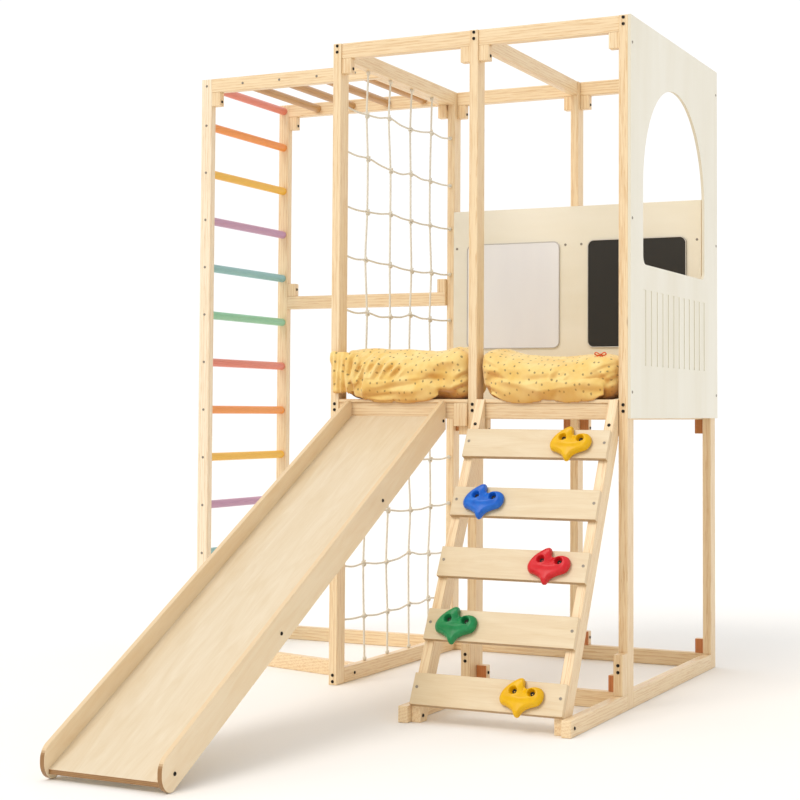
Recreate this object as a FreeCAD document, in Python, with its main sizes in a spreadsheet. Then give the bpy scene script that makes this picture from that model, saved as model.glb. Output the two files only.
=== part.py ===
import FreeCAD, Part
import math
import os

import Sketcher

# Wooden indoor play gym: a two-bay tower with a slide, a climbing board, a rope net, a rainbow
# ladder and monkey bars. Millimetres, +Z up, +Y to the back, origin under the middle of the
# whole thing on the floor. Places below are first measured from the foot of the front left
# post (its outer front corner) and moved to that origin by centre_x and centre_y.

os.makedirs("parts", exist_ok=True)
doc = FreeCAD.newDocument("play_gym")
sheet = doc.addObject("Spreadsheet::Sheet", "dims")

DRIVING = {
    # whole object
    "tower_high": 1850, "tower_deep": 860, "centre_x": 131.5, "centre_y": -264,
    # timber sections
    "post_wide": 26, "post_deep": 50, "rail_high": 44, "rail_thick": 28, "rail_recess": 4,
    # where the posts stand
    "bay_post_x": 432, "end_post_x": 868, "rear_post_x": 435,
    # ladder
    "ladder_x": -640, "ladder_y": 296, "ladder_rear_y": 796, "ladder_wide": 38,
    "ladder_thick": 26, "rung_radius": 13, "rung_first": 176, "rung_pitch": 152.4,
    "bar_drop": 22, "bar_pitch": 134.5, "mid_rail_z": 1136, "oblique_y": 134,
    # deck
    "deck_top": 818, "deck_thick": 10, "deck_edge": 30, "board_gap": 2,
    # corner cleats
    "cleat_long": 30, "cleat_thick": 26, "cleat_high": 44,
    "bearer_wide": 40, "bearer_thick": 10, "bearer_high": 64,
    # slide
    "slide_x": 57, "slide_wide": 308, "slide_side": 12, "slide_angle": 28.55,
    "slide_top": 822, "slide_depth": 78, "slide_end": 1388, "bed_drop": 46, "bed_thick": 9,
    "bed_short": 16, "slide_bar": 20,
    # climbing board
    "climb_angle": 62.35, "climb_top": 818, "climb_depth": 54, "foot_y": 410, "foot_high": 42,
    "plank_thick": 15, "plank_wide": 84, "plank_pitch": 154, "plank_first": 77.5,
    # floor beams
    "beam_long": 432, "beam_high": 42, "block_high": 108, "block_thick": 42,
    # panels
    "panel_thick": 8, "back_top": 1445, "side_low": 768, "arch_y": 108, "arch_radius": 303,
    "arch_sill": 1187, "arch_spring": 1404, "groove_low": 911, "groove_high": 207,
    "groove_wide": 26, "groove_deep": 1.6, "groove_pitch": 52.7,
    "easel_low": 990, "easel_wide": 324, "easel_high": 344, "easel_thick": 4,
    "white_x": 78, "chalk_x": 497, "batten": 21,
    # rope net
    "rope_radius": 3.2, "net_x": 9, "net_step_y": 152, "net_low": 184, "net_step_z": 149.7,
    # cushions
    "cushion_high": 150, "cushion_deep": 204, "cushion_lift": 0.3, "cushion_set": 3,
    "cushion_bulge": 14, "wrap_gap": 1, "wrap_up": 16, "wrap_long": 80, "wrap_high": 118,
    "lip_drop": 13, "lip_high": 60, "lip_in": 6,
    # fasteners
    "bolt_radius": 4.5, "bolt_head": 2.5, "screw_radius": 4, "screw_head": 1.2,
}


class Dim:
    """A size that knows its value and the expression it is bound with."""

    def __init__(self, value, text):
        self.value = float(value)
        self.text = text

    def __add__(self, other):
        other = dim(other)
        return Dim(self.value + other.value, f"({self.text} + {other.text})")

    def __sub__(self, other):
        other = dim(other)
        return Dim(self.value - other.value, f"({self.text} - {other.text})")

    def __mul__(self, other):
        other = dim(other)
        return Dim(self.value * other.value, f"({self.text} * {other.text})")

    def __truediv__(self, other):
        other = dim(other)
        return Dim(self.value / other.value, f"({self.text} / {other.text})")

    def __neg__(self):
        return Dim(-self.value, f"(0 - {self.text})")

    __radd__ = __add__
    __rmul__ = __mul__


def dim(size):
    return size if isinstance(size, Dim) else Dim(size, repr(size))


def sine(angle):
    return Dim(math.sin(math.radians(angle.value)), f"sin({angle.text})")


def cosine(angle):
    return Dim(math.cos(math.radians(angle.value)), f"cos({angle.text})")


for row, (alias, number) in enumerate(DRIVING.items(), start=1):
    sheet.set(f"A{row}", alias)
    sheet.set(f"B{row}", str(number))
    sheet.setAlias(f"B{row}", alias)
doc.recompute()
D = {alias: Dim(number, f"dims.{alias}") for alias, number in DRIVING.items()}

EASE = 2.0          # radius on the edges of planed timber
FINE_EASE = 1.0     # radius on the edges of thin boards
DOWEL_EASE = 1.5    # radius on the ends of round bars and on the slide's long edges
X_AXIS = FreeCAD.Vector(1, 0, 0)
NODES = {}


def bind(obj, **sizes):
    """Bind named properties of an object to the driving dimensions."""
    for name, size in sizes.items():
        setattr(obj, name, dim(size).value)
        obj.setExpression(name, dim(size).text)


def place(obj, x, y, z, turn=None):
    """Put an object at a place measured from the front left post, turned about X."""
    spots = [dim(x) - D["centre_x"], dim(y) - D["centre_y"], dim(z)]
    angle = turn.value if turn else 0
    base = FreeCAD.Vector(*[spot.value for spot in spots])
    obj.Placement = FreeCAD.Placement(base, FreeCAD.Rotation(X_AXIS, angle))
    for letter, spot in zip("xyz", spots):
        obj.setExpression(f"Placement.Base.{letter}", spot.text)
    if turn:
        obj.setExpression("Placement.Rotation.Angle", turn.text)


def keep(label, obj):
    """Name the finished sub-part and list it for export."""
    obj.Label = label
    NODES[label] = obj


def eased(base, radius=EASE, count=12):
    soft = doc.addObject("Part::Fillet", "eased")
    soft.Base = base
    soft.Edges = [(number, radius, radius) for number in range(1, count + 1)]
    return soft


def timber(corner, size, radius=EASE, turn=None):
    """One planed bar or board with softened edges."""
    box = doc.addObject("Part::Box", "bar")
    bind(box, Length=size[0], Width=size[1], Height=size[2])
    place(box, *corner, turn=turn)
    return eased(box, radius)


def round_bar(start, length, radius, ease=DOWEL_EASE):
    """One round bar along Y with softened ends."""
    bar = doc.addObject("Part::Cylinder", "dowel")
    bind(bar, Radius=radius, Height=length)
    spots = [dim(start[0]) - D["centre_x"], dim(start[1]) - D["centre_y"], dim(start[2])]
    bar.Placement = FreeCAD.Placement(FreeCAD.Vector(), FreeCAD.Rotation(X_AXIS, -90))
    for letter, spot in zip("xyz", spots):
        bar.setExpression(f"Placement.Base.{letter}", spot.text)
    if not ease:
        return bar
    soft = doc.addObject("Part::Fillet", "dowel_eased")
    soft.Base = bar
    soft.Edges = [(2, ease, ease), (3, ease, ease)]
    return soft


def group(label, pieces):
    """Several separate pieces that share one node."""
    joined = doc.addObject("Part::MultiFuse", label)
    joined.Shapes = pieces
    joined.Refine = False
    keep(label, joined)


def new_body(label, x, y, z, turn=None):
    body = doc.addObject("PartDesign::Body", label)
    place(body, x, y, z, turn)
    keep(label, body)
    return body


def new_sketch(body, plane):
    sketch = body.newObject("Sketcher::SketchObject", "outline")
    flat = [item for item in body.Origin.OriginFeatures if item.Role == plane][0]
    sketch.AttachmentSupport = [(flat, "")]
    sketch.MapMode = "FlatFace"
    return sketch


def hold_at(sketch, kind, geometry, point, size):
    """Hold one sketch point at a bound distance from the sketch's origin."""
    number = sketch.addConstraint(Sketcher.Constraint(kind, -1, 1, geometry, point, size.value))
    sketch.setExpression(f"Constraints[{number}]", size.text)


def pin(sketch, geometry, point, across, up):
    """Hold one sketch point at a place bound to the driving dimensions."""
    hold_at(sketch, "DistanceX", geometry, point, dim(across))
    hold_at(sketch, "DistanceY", geometry, point, dim(up))


def outline(body, plane, corners):
    """A closed outline through the given corners, each pinned to the dimensions."""
    sketch = new_sketch(body, plane)
    spots = [FreeCAD.Vector(dim(a).value, dim(b).value, 0) for a, b in corners]
    for number, spot in enumerate(spots):
        sketch.addGeometry(Part.LineSegment(spot, spots[(number + 1) % len(spots)]), False)
    for number in range(len(spots)):
        following = (number + 1) % len(spots)
        sketch.addConstraint(Sketcher.Constraint("Coincident", number, 2, following, 1))
    for number, corner in enumerate(corners):
        pin(sketch, number, 1, *corner)
    return sketch


def pad(body, sketch, length):
    feature = body.newObject("PartDesign::Pad", "pad")
    feature.Profile = sketch
    bind(feature, Length=length)
    sketch.Visibility = False
    doc.recompute()
    return feature


def pocket(body, sketch, length, reverse=False):
    """Cut a sketch into the body, and make sure that it took material away."""
    before = body.Shape.Volume
    feature = body.newObject("PartDesign::Pocket", "pocket")
    feature.Profile = sketch
    bind(feature, Length=length)
    feature.Reversed = reverse
    doc.recompute()
    if body.Shape.Volume > before - 1:
        raise RuntimeError(body.Label + ": a pocket cut nothing")
    return feature


def soften(body, radius, wanted):
    """Round those edges of the body's last feature for which wanted(edge) holds."""
    tip = body.Tip
    names = [f"Edge{number}" for number, edge in enumerate(tip.Shape.Edges, start=1) if wanted(edge)]
    feature = body.newObject("PartDesign::Fillet", "soft_edges")
    feature.Base = (tip, names)
    feature.Radius = radius
    doc.recompute()
    return feature


def along(edge, letter):
    """True for a straight edge that runs along the given axis of its body."""
    ends = [vertex.Point for vertex in edge.Vertexes]
    if len(ends) < 2:
        return False
    step = ends[1] - ends[0]
    return all(abs(getattr(step, other)) < 0.01 for other in "xyz" if other != letter)


def middle(edge):
    return edge.CenterOfMass


# ---------------------------------------------------------------- places that many parts use
FLOOR = dim(0)
BACK = D["tower_deep"]
REAR_FACE = BACK - D["post_deep"]                    # front of the rear posts
FRONT_RAIL_Y = D["rail_recess"]
REAR_RAIL_Y = BACK - D["rail_recess"] - D["rail_thick"]
TOP_RAIL_Z = D["tower_high"] - D["rail_high"]
DECK_RAIL_Z = D["deck_top"] - D["deck_thick"] - D["rail_high"]
BAY_POST_RIGHT = D["bay_post_x"] + D["post_wide"]
REAR_POST_RIGHT = D["rear_post_x"] + D["post_wide"]
OUTER_RIGHT = D["end_post_x"] + D["post_wide"]
LADDER_RIGHT = D["ladder_x"] + D["ladder_wide"]
LADDER_MIDDLE = D["ladder_x"] + D["ladder_wide"] / 2
SIDE_RAIL_LONG = REAR_FACE - D["post_deep"]

FRONT_POSTS = {"left": dim(0), "middle": D["bay_post_x"], "right": D["end_post_x"]}
REAR_POSTS = {"left": dim(0), "middle": D["rear_post_x"], "right": D["end_post_x"]}


# ---------------------------------------------------------------- tower frame
def posts():
    section = (D["post_wide"], D["post_deep"], D["tower_high"])
    for side, x in FRONT_POSTS.items():
        keep(f"post_front_{side}", timber((x, 0, 0), section))
    for side, x in REAR_POSTS.items():
        keep(f"post_rear_{side}", timber((x, REAR_FACE, 0), section))


def cross_rail(start, end, y, z):
    return timber((start, y, z), (end - start, D["rail_thick"], D["rail_high"]))


def front_pair(z):
    return [cross_rail(D["post_wide"], D["bay_post_x"], FRONT_RAIL_Y, z),
            cross_rail(BAY_POST_RIGHT, D["end_post_x"], FRONT_RAIL_Y, z)]


def rear_pair(z):
    return [cross_rail(D["post_wide"], D["rear_post_x"], REAR_RAIL_Y, z),
            cross_rail(REAR_POST_RIGHT, D["end_post_x"], REAR_RAIL_Y, z)]


def side_rail(x, z):
    return timber((x, D["post_deep"], z), (D["post_wide"], SIDE_RAIL_LONG, D["rail_high"]))


def rails():
    group("top_rails_front", front_pair(TOP_RAIL_Z))
    group("top_rails_rear", rear_pair(TOP_RAIL_Z))
    group("top_rails_side", [side_rail(x, TOP_RAIL_Z) for x in FRONT_POSTS.values()])
    group("deck_rails_front", front_pair(DECK_RAIL_Z))
    group("deck_rails_rear", rear_pair(DECK_RAIL_Z))
    group("base_rails_side", [side_rail(dim(0), FLOOR), side_rail(D["end_post_x"], FLOOR)])
    group("base_rails_cross", front_pair(FLOOR)[1:] + rear_pair(FLOOR))


DECK_ROWS = 7


def deck():
    inner_y = FRONT_RAIL_Y + D["rail_thick"]
    joist = (D["rail_thick"], REAR_RAIL_Y - inner_y, D["rail_high"])
    starts = [D["deck_edge"], REAR_POST_RIGHT + D["board_gap"],
              D["end_post_x"] - D["rail_thick"] - D["board_gap"]]
    group("deck_joists", [timber((x, inner_y, DECK_RAIL_Z), joist) for x in starts])
    board_z = D["deck_top"] - D["deck_thick"]
    rows = DECK_ROWS
    first_y = D["post_deep"] + 1
    board_deep = (REAR_FACE - D["post_deep"] - 2 - D["board_gap"] * (rows - 1)) / rows
    long_board = (OUTER_RIGHT - D["deck_edge"] - 2, board_deep, D["deck_thick"])
    pieces = [timber((D["deck_edge"], first_y + (board_deep + D["board_gap"]) * row, board_z),
                     long_board, FINE_EASE) for row in range(rows)]
    for line, y in ((FRONT_POSTS, dim(0)), (REAR_POSTS, REAR_FACE + 1)):
        for left, right in (("left", "middle"), ("middle", "right")):
            start = line[left] + D["post_wide"] + 1
            strip = (line[right] - start - 1, D["post_deep"] - 1, D["deck_thick"])
            pieces.append(timber((start, y, board_z), strip, FINE_EASE))
    group("deck_boards", pieces)


# ---------------------------------------------------------------- ladder and monkey bars
RUNG_COLOURS = ("green", "blue", "mauve", "yellow", "orange", "red")     # from the floor up
RUNG_COUNT = 11
BAR_COUNT = 4


def ladder():
    post = (D["ladder_wide"], D["ladder_thick"], D["tower_high"])
    keep("ladder_post_front", timber((D["ladder_x"], D["ladder_y"], 0), post))
    keep("ladder_post_rear", timber((D["ladder_x"], D["ladder_rear_y"], 0), post))
    inner = D["ladder_y"] + D["ladder_thick"]
    rung_long = D["ladder_rear_y"] - inner
    bar_z = D["tower_high"] - D["bar_drop"]
    rungs = {colour: [] for colour in RUNG_COLOURS}
    for number in range(RUNG_COUNT):
        z = D["rung_first"] + D["rung_pitch"] * number
        bar = round_bar((LADDER_MIDDLE, inner, z), rung_long, D["rung_radius"])
        rungs[RUNG_COLOURS[number % len(RUNG_COLOURS)]].append(bar)
    rungs["red"].append(round_bar((LADDER_MIDDLE, inner, bar_z), rung_long, D["rung_radius"]))
    for colour, bars in rungs.items():
        group(f"rungs_{colour}", bars)
    front_y = D["ladder_y"]
    bar_start = front_y + D["rail_thick"]
    bar_long = D["ladder_rear_y"] - bar_start
    spots = [LADDER_MIDDLE + D["bar_pitch"] * number for number in range(1, BAR_COUNT + 1)]
    group("monkey_bars", [round_bar((x, bar_start, bar_z), bar_long, D["rung_radius"])
                          for x in spots])
    keep("monkey_rail_front", cross_rail(LADDER_RIGHT, FLOOR, front_y, TOP_RAIL_Z))
    keep("monkey_rail_rear", cross_rail(LADDER_RIGHT, FLOOR, D["ladder_rear_y"], TOP_RAIL_Z))
    keep("monkey_end_rail", timber((-D["rail_thick"], bar_start, TOP_RAIL_Z),
                                   (D["rail_thick"], bar_long, D["rail_high"])))
    keep("mid_rail", cross_rail(LADDER_RIGHT, FLOOR, D["ladder_rear_y"], D["mid_rail_z"]))
    keep("base_rail_ladder", cross_rail(LADDER_RIGHT, FLOOR, D["ladder_rear_y"], FLOOR))


def oblique_rail():
    """The floor rail that runs slantwise from the ladder's front foot to the tower."""
    body = new_body("base_rail_oblique", 0, 0, 0)
    tower_y = D["oblique_y"]
    corners = [(0, tower_y), (LADDER_RIGHT, D["ladder_y"]),
               (LADDER_RIGHT, D["ladder_y"] + D["rail_thick"]), (0, tower_y + D["rail_thick"])]
    pad(body, outline(body, "XY_Plane", corners), D["rail_high"])
    soften(body, EASE, lambda edge: not along(edge, "z"))


# ---------------------------------------------------------------- cleats
def cleat(x, y, z):
    return timber((x, y, z), (D["cleat_long"], D["cleat_thick"], D["cleat_high"]))


def cleat_spots():
    """Corner of each cleat beside a post, for the front and the rear rails of the tower."""
    long = D["cleat_long"]
    front = [(D["post_wide"], FRONT_RAIL_Y + 1), (D["bay_post_x"] - long, FRONT_RAIL_Y + 1),
             (BAY_POST_RIGHT, FRONT_RAIL_Y + 1), (D["end_post_x"] - long, FRONT_RAIL_Y + 1)]
    rear = [(D["post_wide"], REAR_RAIL_Y + 1), (D["rear_post_x"] - long, REAR_RAIL_Y + 1),
            (REAR_POST_RIGHT, REAR_RAIL_Y + 1), (D["end_post_x"] - long, REAR_RAIL_Y + 1)]
    return front, rear


def ladder_cleat_spots():
    return [(LADDER_RIGHT, D["ladder_y"] + 1), (LADDER_RIGHT, D["ladder_rear_y"] + 1),
            (-D["cleat_long"], D["ladder_rear_y"] + 1)]


def cleats():
    front, rear = cleat_spots()
    ladder_spots = ladder_cleat_spots()
    under_top = TOP_RAIL_Z - D["cleat_high"]
    under_deck = DECK_RAIL_Z - D["cleat_high"]
    on_mid = D["mid_rail_z"] + D["rail_high"]
    group("cleats_top", [cleat(x, y, under_top) for x, y in front + rear + ladder_spots])
    bearer = timber((D["bay_post_x"] - D["bearer_wide"] - 1, FRONT_RAIL_Y - D["bearer_thick"],
                     D["deck_top"] - D["deck_thick"] - D["bearer_high"] - 1),
                    (D["bearer_wide"], D["bearer_thick"], D["bearer_high"]))
    group("cleats_deck", [cleat(x, y, under_deck) for x, y in front + rear] + [bearer])
    low = [cleat(x, y, D["rail_high"]) for x, y in front[2:] + rear + ladder_spots[1:]]
    group("cleats_low", low + [cleat(x, y, on_mid) for x, y in ladder_spots[1:]])


# ---------------------------------------------------------------- slide
SLIDE_BARS = (28, 402, 918, 1296)     # how far in front of the deck each cross bar lies
NOSE_RADIUS = 38                      # on the side boards' lower end
HEAD_RADIUS = 12                      # on their upper end
SLIDE_RISE = sine(D["slide_angle"]) / cosine(D["slide_angle"])
SIDE_UPRIGHT = D["slide_depth"] / cosine(D["slide_angle"])    # side board measured straight down


def slide_top_at(y):
    """Height of the side boards' top edge, y being counted forward from the deck."""
    return D["slide_top"] - SLIDE_RISE * y


def slide_side(label, x):
    body = new_body(label, x, 0, 0)
    foot = (D["slide_top"] - SIDE_UPRIGHT) / SLIDE_RISE
    corners = [(0, D["slide_top"] - SIDE_UPRIGHT), (-foot, 0), (-D["slide_end"], 0),
               (-D["slide_end"], slide_top_at(D["slide_end"])), (0, D["slide_top"])]
    pad(body, outline(body, "YZ_Plane", corners), D["slide_side"])
    nose = D["slide_end"].value
    soften(body, NOSE_RADIUS, lambda edge: along(edge, "x") and abs(middle(edge).y + nose) < 1)
    top = D["slide_top"].value
    soften(body, HEAD_RADIUS, lambda edge: along(edge, "x") and middle(edge).z > top - 1)
    soften(body, DOWEL_EASE, lambda edge: not along(edge, "x") and middle(edge).z > 1)


def slide():
    slide_side("slide_side_left", D["slide_x"])
    slide_side("slide_side_right", D["slide_x"] + D["slide_wide"] - D["slide_side"])
    inner_x = D["slide_x"] + D["slide_side"]
    inner_wide = D["slide_wide"] - D["slide_side"] * 2
    bed = new_body("slide_bed", inner_x, 0, 0)
    drop = D["bed_drop"] / cosine(D["slide_angle"])
    thick = D["bed_thick"] / cosine(D["slide_angle"])
    end = D["slide_end"] - D["bed_short"]
    top = D["slide_top"] - drop
    corners = [(0, top - thick), (-end, slide_top_at(end) - drop - thick),
               (-end, slide_top_at(end) - drop), (0, top)]
    pad(bed, outline(bed, "YZ_Plane", corners), inner_wide)
    bars = []
    for y in SLIDE_BARS:
        under = slide_top_at(dim(y)) - drop - thick
        size = (inner_wide, D["cleat_thick"], D["slide_bar"])
        bars.append(timber((inner_x, dim(-y), under - D["slide_bar"] / cosine(D["slide_angle"])),
                           size, EASE, D["slide_angle"]))
    group("slide_cross_bars", bars)


# ---------------------------------------------------------------- climbing board
CLIMB_RUN = cosine(D["climb_angle"]) / sine(D["climb_angle"])
LEAN = D["climb_angle"] - 90
PLANK_COUNT = 5


def climb_front_at(z):
    """Y of the stringers' sloping front edge at a height."""
    return -D["foot_y"] + CLIMB_RUN * (z - D["foot_high"])


def stringer(label, x):
    body = new_body(label, x, 0, 0)
    deep = D["climb_depth"] / sine(D["climb_angle"])
    top = D["climb_top"]
    back_low = (-D["foot_y"] + deep - CLIMB_RUN * D["foot_high"], 0)
    back_high = (0, top - (climb_front_at(top) + deep) / CLIMB_RUN)
    corners = [(-D["foot_y"], 0), back_low, back_high, (0, top),
               (climb_front_at(top), top), (-D["foot_y"], D["foot_high"])]
    pad(body, outline(body, "YZ_Plane", corners), D["post_wide"])
    soften(body, EASE, lambda edge: not along(edge, "x") and middle(edge).z > 1)


def plank_place(number):
    """Lower front corner height of a plank, and the y of the stringer edge there."""
    z = D["plank_first"] + D["plank_pitch"] * number - D["plank_wide"] / 2 * sine(D["climb_angle"])
    return climb_front_at(z), z


def plank_face(number, share):
    """Y and z on a plank's outer face, a share of the plank's width up from its lower edge."""
    y, z = plank_place(number)
    up, out = D["plank_wide"] * share, D["plank_thick"]
    y = y + cosine(D["climb_angle"]) * up - sine(D["climb_angle"]) * out
    z = z + sine(D["climb_angle"]) * up + cosine(D["climb_angle"]) * out
    return y, z


def climbing_board():
    stringer("climb_stringer_left", BAY_POST_RIGHT)
    stringer("climb_stringer_right", D["end_post_x"] - D["post_wide"])
    out_y = sine(D["climb_angle"]) * D["plank_thick"]
    out_z = cosine(D["climb_angle"]) * D["plank_thick"]
    size = (D["end_post_x"] - BAY_POST_RIGHT, D["plank_thick"], D["plank_wide"])
    planks = []
    for number in range(PLANK_COUNT):
        y, z = plank_place(number)
        planks.append(timber((BAY_POST_RIGHT, y - out_y, z + out_z), size, EASE, LEAN))
    group("climb_planks", planks)


HOLD_OUTLINE = [(-5, 43), (8, 28), (35, 28), (49, 22), (57, 5), (46, -17), (22, -30),
                (9, -43), (-6, -46), (-20, -36), (-35, -22), (-51, -18), (-57, 0),
                (-46, 21), (-24, 38)]
HOLD_THICK = 24
HOLD_DOWN = 0.44    # how far up its plank a hold's middle lies
HOLD_ROUND = 9      # radius of the hold's soft front edge
RECESS_RADIUS = 8   # the two screw recesses of a hold
RECESS_DEEP = 12
RECESSES = ((-20, 14), (28, 11))
HOLDS = (("hold_yellow_low", 759, 0), ("hold_green", 547, 1), ("hold_red", 768, 2),
         ("hold_blue", 553, 3), ("hold_yellow_high", 767, 4))


def hold(label, x, plank):
    """A moulded climbing hold, screwed to the middle of a plank through two recesses."""
    body = new_body(label, x, *plank_face(plank, HOLD_DOWN), LEAN)
    pad(body, outline(body, "XZ_Plane", HOLD_OUTLINE), HOLD_THICK)
    soften(body, HOLD_ROUND, lambda edge: middle(edge).y < -HOLD_THICK + 0.1)
    sketch = new_sketch(body, "XZ_Plane")
    for number, (x, up) in enumerate(RECESSES):
        centre = FreeCAD.Vector(x, up, 0)
        sketch.addGeometry(Part.Circle(centre, FreeCAD.Vector(0, 0, 1), RECESS_RADIUS), False)
        sketch.addConstraint(Sketcher.Constraint("Radius", number, RECESS_RADIUS))
        pin(sketch, number, 3, x, up)
    front = FreeCAD.Vector(0, 0, HOLD_THICK)
    sketch.AttachmentOffset = FreeCAD.Placement(front, FreeCAD.Rotation())
    pocket(body, sketch, RECESS_DEEP)


def holds():
    for label, x, plank in HOLDS:
        hold(label, x, plank)


def floor_beams():
    lines = (D["bay_post_x"], D["end_post_x"])
    beam = (D["post_wide"], D["beam_long"], D["beam_high"])
    block = (D["post_wide"], D["block_thick"], D["block_high"])
    group("floor_beams", [timber((x, -D["beam_long"], 0), beam) for x in lines])
    group("foot_blocks", [timber((x, -D["block_thick"], D["beam_high"]), block) for x in lines])


# ---------------------------------------------------------------- panels
EASEL_CORNER = 20     # radius on the corners of the white board and the chalk board
SILL_CORNER = 24      # radius on the lower corners of the arched window
GROOVE_COUNT = 12


def back_wall():
    front = REAR_FACE - D["panel_thick"]
    left = D["post_wide"] + 2
    body = new_body("back_panel", left, REAR_FACE, D["deck_top"] + 1)
    wide = D["end_post_x"] - 1 - left
    high = D["back_top"] - D["deck_top"] - 1
    pad(body, outline(body, "XZ_Plane", [(0, 0), (wide, 0), (wide, high), (0, high)]),
        D["panel_thick"])
    top = high.value
    soften(body, FINE_EASE, lambda edge: middle(edge).z > top - 1 and not along(edge, "y"))
    thick = D["batten"]
    batten = (thick, thick, D["back_top"] - D["deck_top"] - 4)
    starts = (D["post_wide"], D["rear_post_x"] - thick, REAR_POST_RIGHT, D["end_post_x"] - thick)
    group("panel_battens", [timber((x, REAR_FACE, D["deck_top"] + 2), batten) for x in starts])
    for label, x in (("whiteboard", D["white_x"]), ("chalkboard", D["chalk_x"])):
        easel = new_body(label, x, front, D["easel_low"])
        corners = [(0, 0), (D["easel_wide"], 0), (D["easel_wide"], D["easel_high"]),
                   (0, D["easel_high"])]
        pad(easel, outline(easel, "XZ_Plane", corners), D["easel_thick"])
        soften(easel, EASEL_CORNER, lambda edge: along(edge, "y"))
        face_y = -D["easel_thick"].value
        soften(easel, FINE_EASE, lambda edge: abs(middle(edge).y - face_y) < 0.01)


def arch_sketch(body):
    """The arched window: a half circle on two upright sides over a level sill."""
    left, radius = D["arch_y"], D["arch_radius"]
    sill, spring = D["arch_sill"], D["arch_spring"]
    centre = FreeCAD.Vector((left + radius).value, spring.value, 0)
    right = left + radius * 2
    ring = Part.Circle(centre, FreeCAD.Vector(0, 0, 1), radius.value)
    sketch = new_sketch(body, "YZ_Plane")
    sketch.addGeometry(Part.ArcOfCircle(ring, 0, math.pi), False)
    path = [(left, spring), (left, sill), (right, sill), (right, spring)]
    spots = [FreeCAD.Vector(a.value, b.value, 0) for a, b in path]
    for start, end in zip(spots, spots[1:]):
        sketch.addGeometry(Part.LineSegment(start, end), False)
    joins = ((0, 2, 1, 1), (1, 2, 2, 1), (2, 2, 3, 1), (3, 2, 0, 1))
    for join in joins:
        sketch.addConstraint(Sketcher.Constraint("Coincident", *join))
    for number, corner in enumerate(path[:3], start=1):
        pin(sketch, number, 1, *corner)
    pin(sketch, 3, 2, *path[3])
    hold_at(sketch, "DistanceY", 0, 3, spring)
    return sketch


def side_wall():
    body = new_body("side_panel", OUTER_RIGHT, 0, 0)
    low, top = D["side_low"], D["tower_high"]
    pad(body, outline(body, "YZ_Plane", [(0, low), (BACK, low), (BACK, top), (0, top)]),
        D["panel_thick"])
    pocket(body, arch_sketch(body), D["panel_thick"], reverse=True)
    sill, left = D["arch_sill"].value, D["arch_y"].value
    soften(body, SILL_CORNER, lambda edge: along(edge, "x") and abs(middle(edge).z - sill) < 1
           and middle(edge).y > left - 1)
    slots = new_sketch(body, "YZ_Plane")
    slots.AttachmentOffset = FreeCAD.Placement(FreeCAD.Vector(0, 0, D["panel_thick"].value),
                                               FreeCAD.Rotation())
    slots.setExpression("AttachmentOffset.Base.z", D["panel_thick"].text)
    for number in range(GROOVE_COUNT):
        start = D["arch_y"] + D["groove_pitch"] * number
        corners = [(start, D["groove_low"]), (start + D["groove_wide"], D["groove_low"]),
                   (start + D["groove_wide"], D["groove_low"] + D["groove_high"]),
                   (start, D["groove_low"] + D["groove_high"])]
        add_loop(slots, number * 4, corners)
    pocket(body, slots, D["groove_deep"])


def add_loop(sketch, first, corners):
    """Add one more closed loop of four lines to a sketch."""
    spots = [FreeCAD.Vector(dim(a).value, dim(b).value, 0) for a, b in corners]
    for number, spot in enumerate(spots):
        sketch.addGeometry(Part.LineSegment(spot, spots[(number + 1) % 4]), False)
    for number in range(4):
        following = first + (number + 1) % 4
        sketch.addConstraint(Sketcher.Constraint("Coincident", first + number, 2, following, 1))
    for number, corner in enumerate(corners):
        pin(sketch, first + number, 1, *corner)


# ---------------------------------------------------------------- rope net
ROPES_UPRIGHT = 4
ROPES_LEVEL = 11


def net():
    """Four hanging ropes and eleven level ones, drawn tight between the frame's members."""
    low = D["rail_high"] + 0.2
    ropes = []
    for number in range(1, ROPES_UPRIGHT + 1):
        rope = doc.addObject("Part::Cylinder", "rope")
        bind(rope, Radius=D["rope_radius"], Height=TOP_RAIL_Z - 0.2 - low)
        place(rope, D["net_x"], D["post_deep"] + D["net_step_y"] * number, low)
        ropes.append(rope)
    group("net_ropes_upright", ropes)
    level_x = D["net_x"] + D["rope_radius"] * 2 + 0.4
    level = [round_bar((level_x, D["post_deep"], D["net_low"] + D["net_step_z"] * number),
                       REAR_FACE - D["post_deep"], D["rope_radius"], 0)
             for number in range(ROPES_LEVEL)]
    group("net_ropes_level", level)


# ---------------------------------------------------------------- cushions
CUSHION_ROUND = 26
WRAP_ROUND = 6


def cushion_block(start, end):
    """A stuffed bolster that fills one bay of the deck's front edge and bulges forward."""
    box = doc.addObject("Part::Box", "cushion_block")
    gap, front = D["cushion_set"], -D["cushion_bulge"]
    bind(box, Length=end - start - gap * 2, Width=D["cushion_deep"], Height=D["cushion_high"])
    place(box, start + gap, front, D["deck_top"] + D["cushion_lift"])
    return eased(box, CUSHION_ROUND)


def front_roll(start, end, low, high):
    """A flat roll of the bolster's cover that lies in front of the posts and the rail."""
    thick = D["cushion_bulge"] - D["wrap_gap"]
    corner = (start, -D["cushion_bulge"], low)
    return timber(corner, (end - start, thick, high), WRAP_ROUND)


def cushion(label, bay, lip, more=()):
    """One bolster, with the lip that hangs over the deck's edge between two boards."""
    lip_low = D["deck_top"] - D["lip_drop"]
    inset = D["lip_in"]
    pieces = [cushion_block(*bay), front_roll(lip[0] + inset, lip[1] - inset, lip_low,
                                              D["lip_high"]), *more]
    joined = doc.addObject("Part::MultiFuse", label)
    joined.Shapes = pieces
    keep(label, joined)


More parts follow.
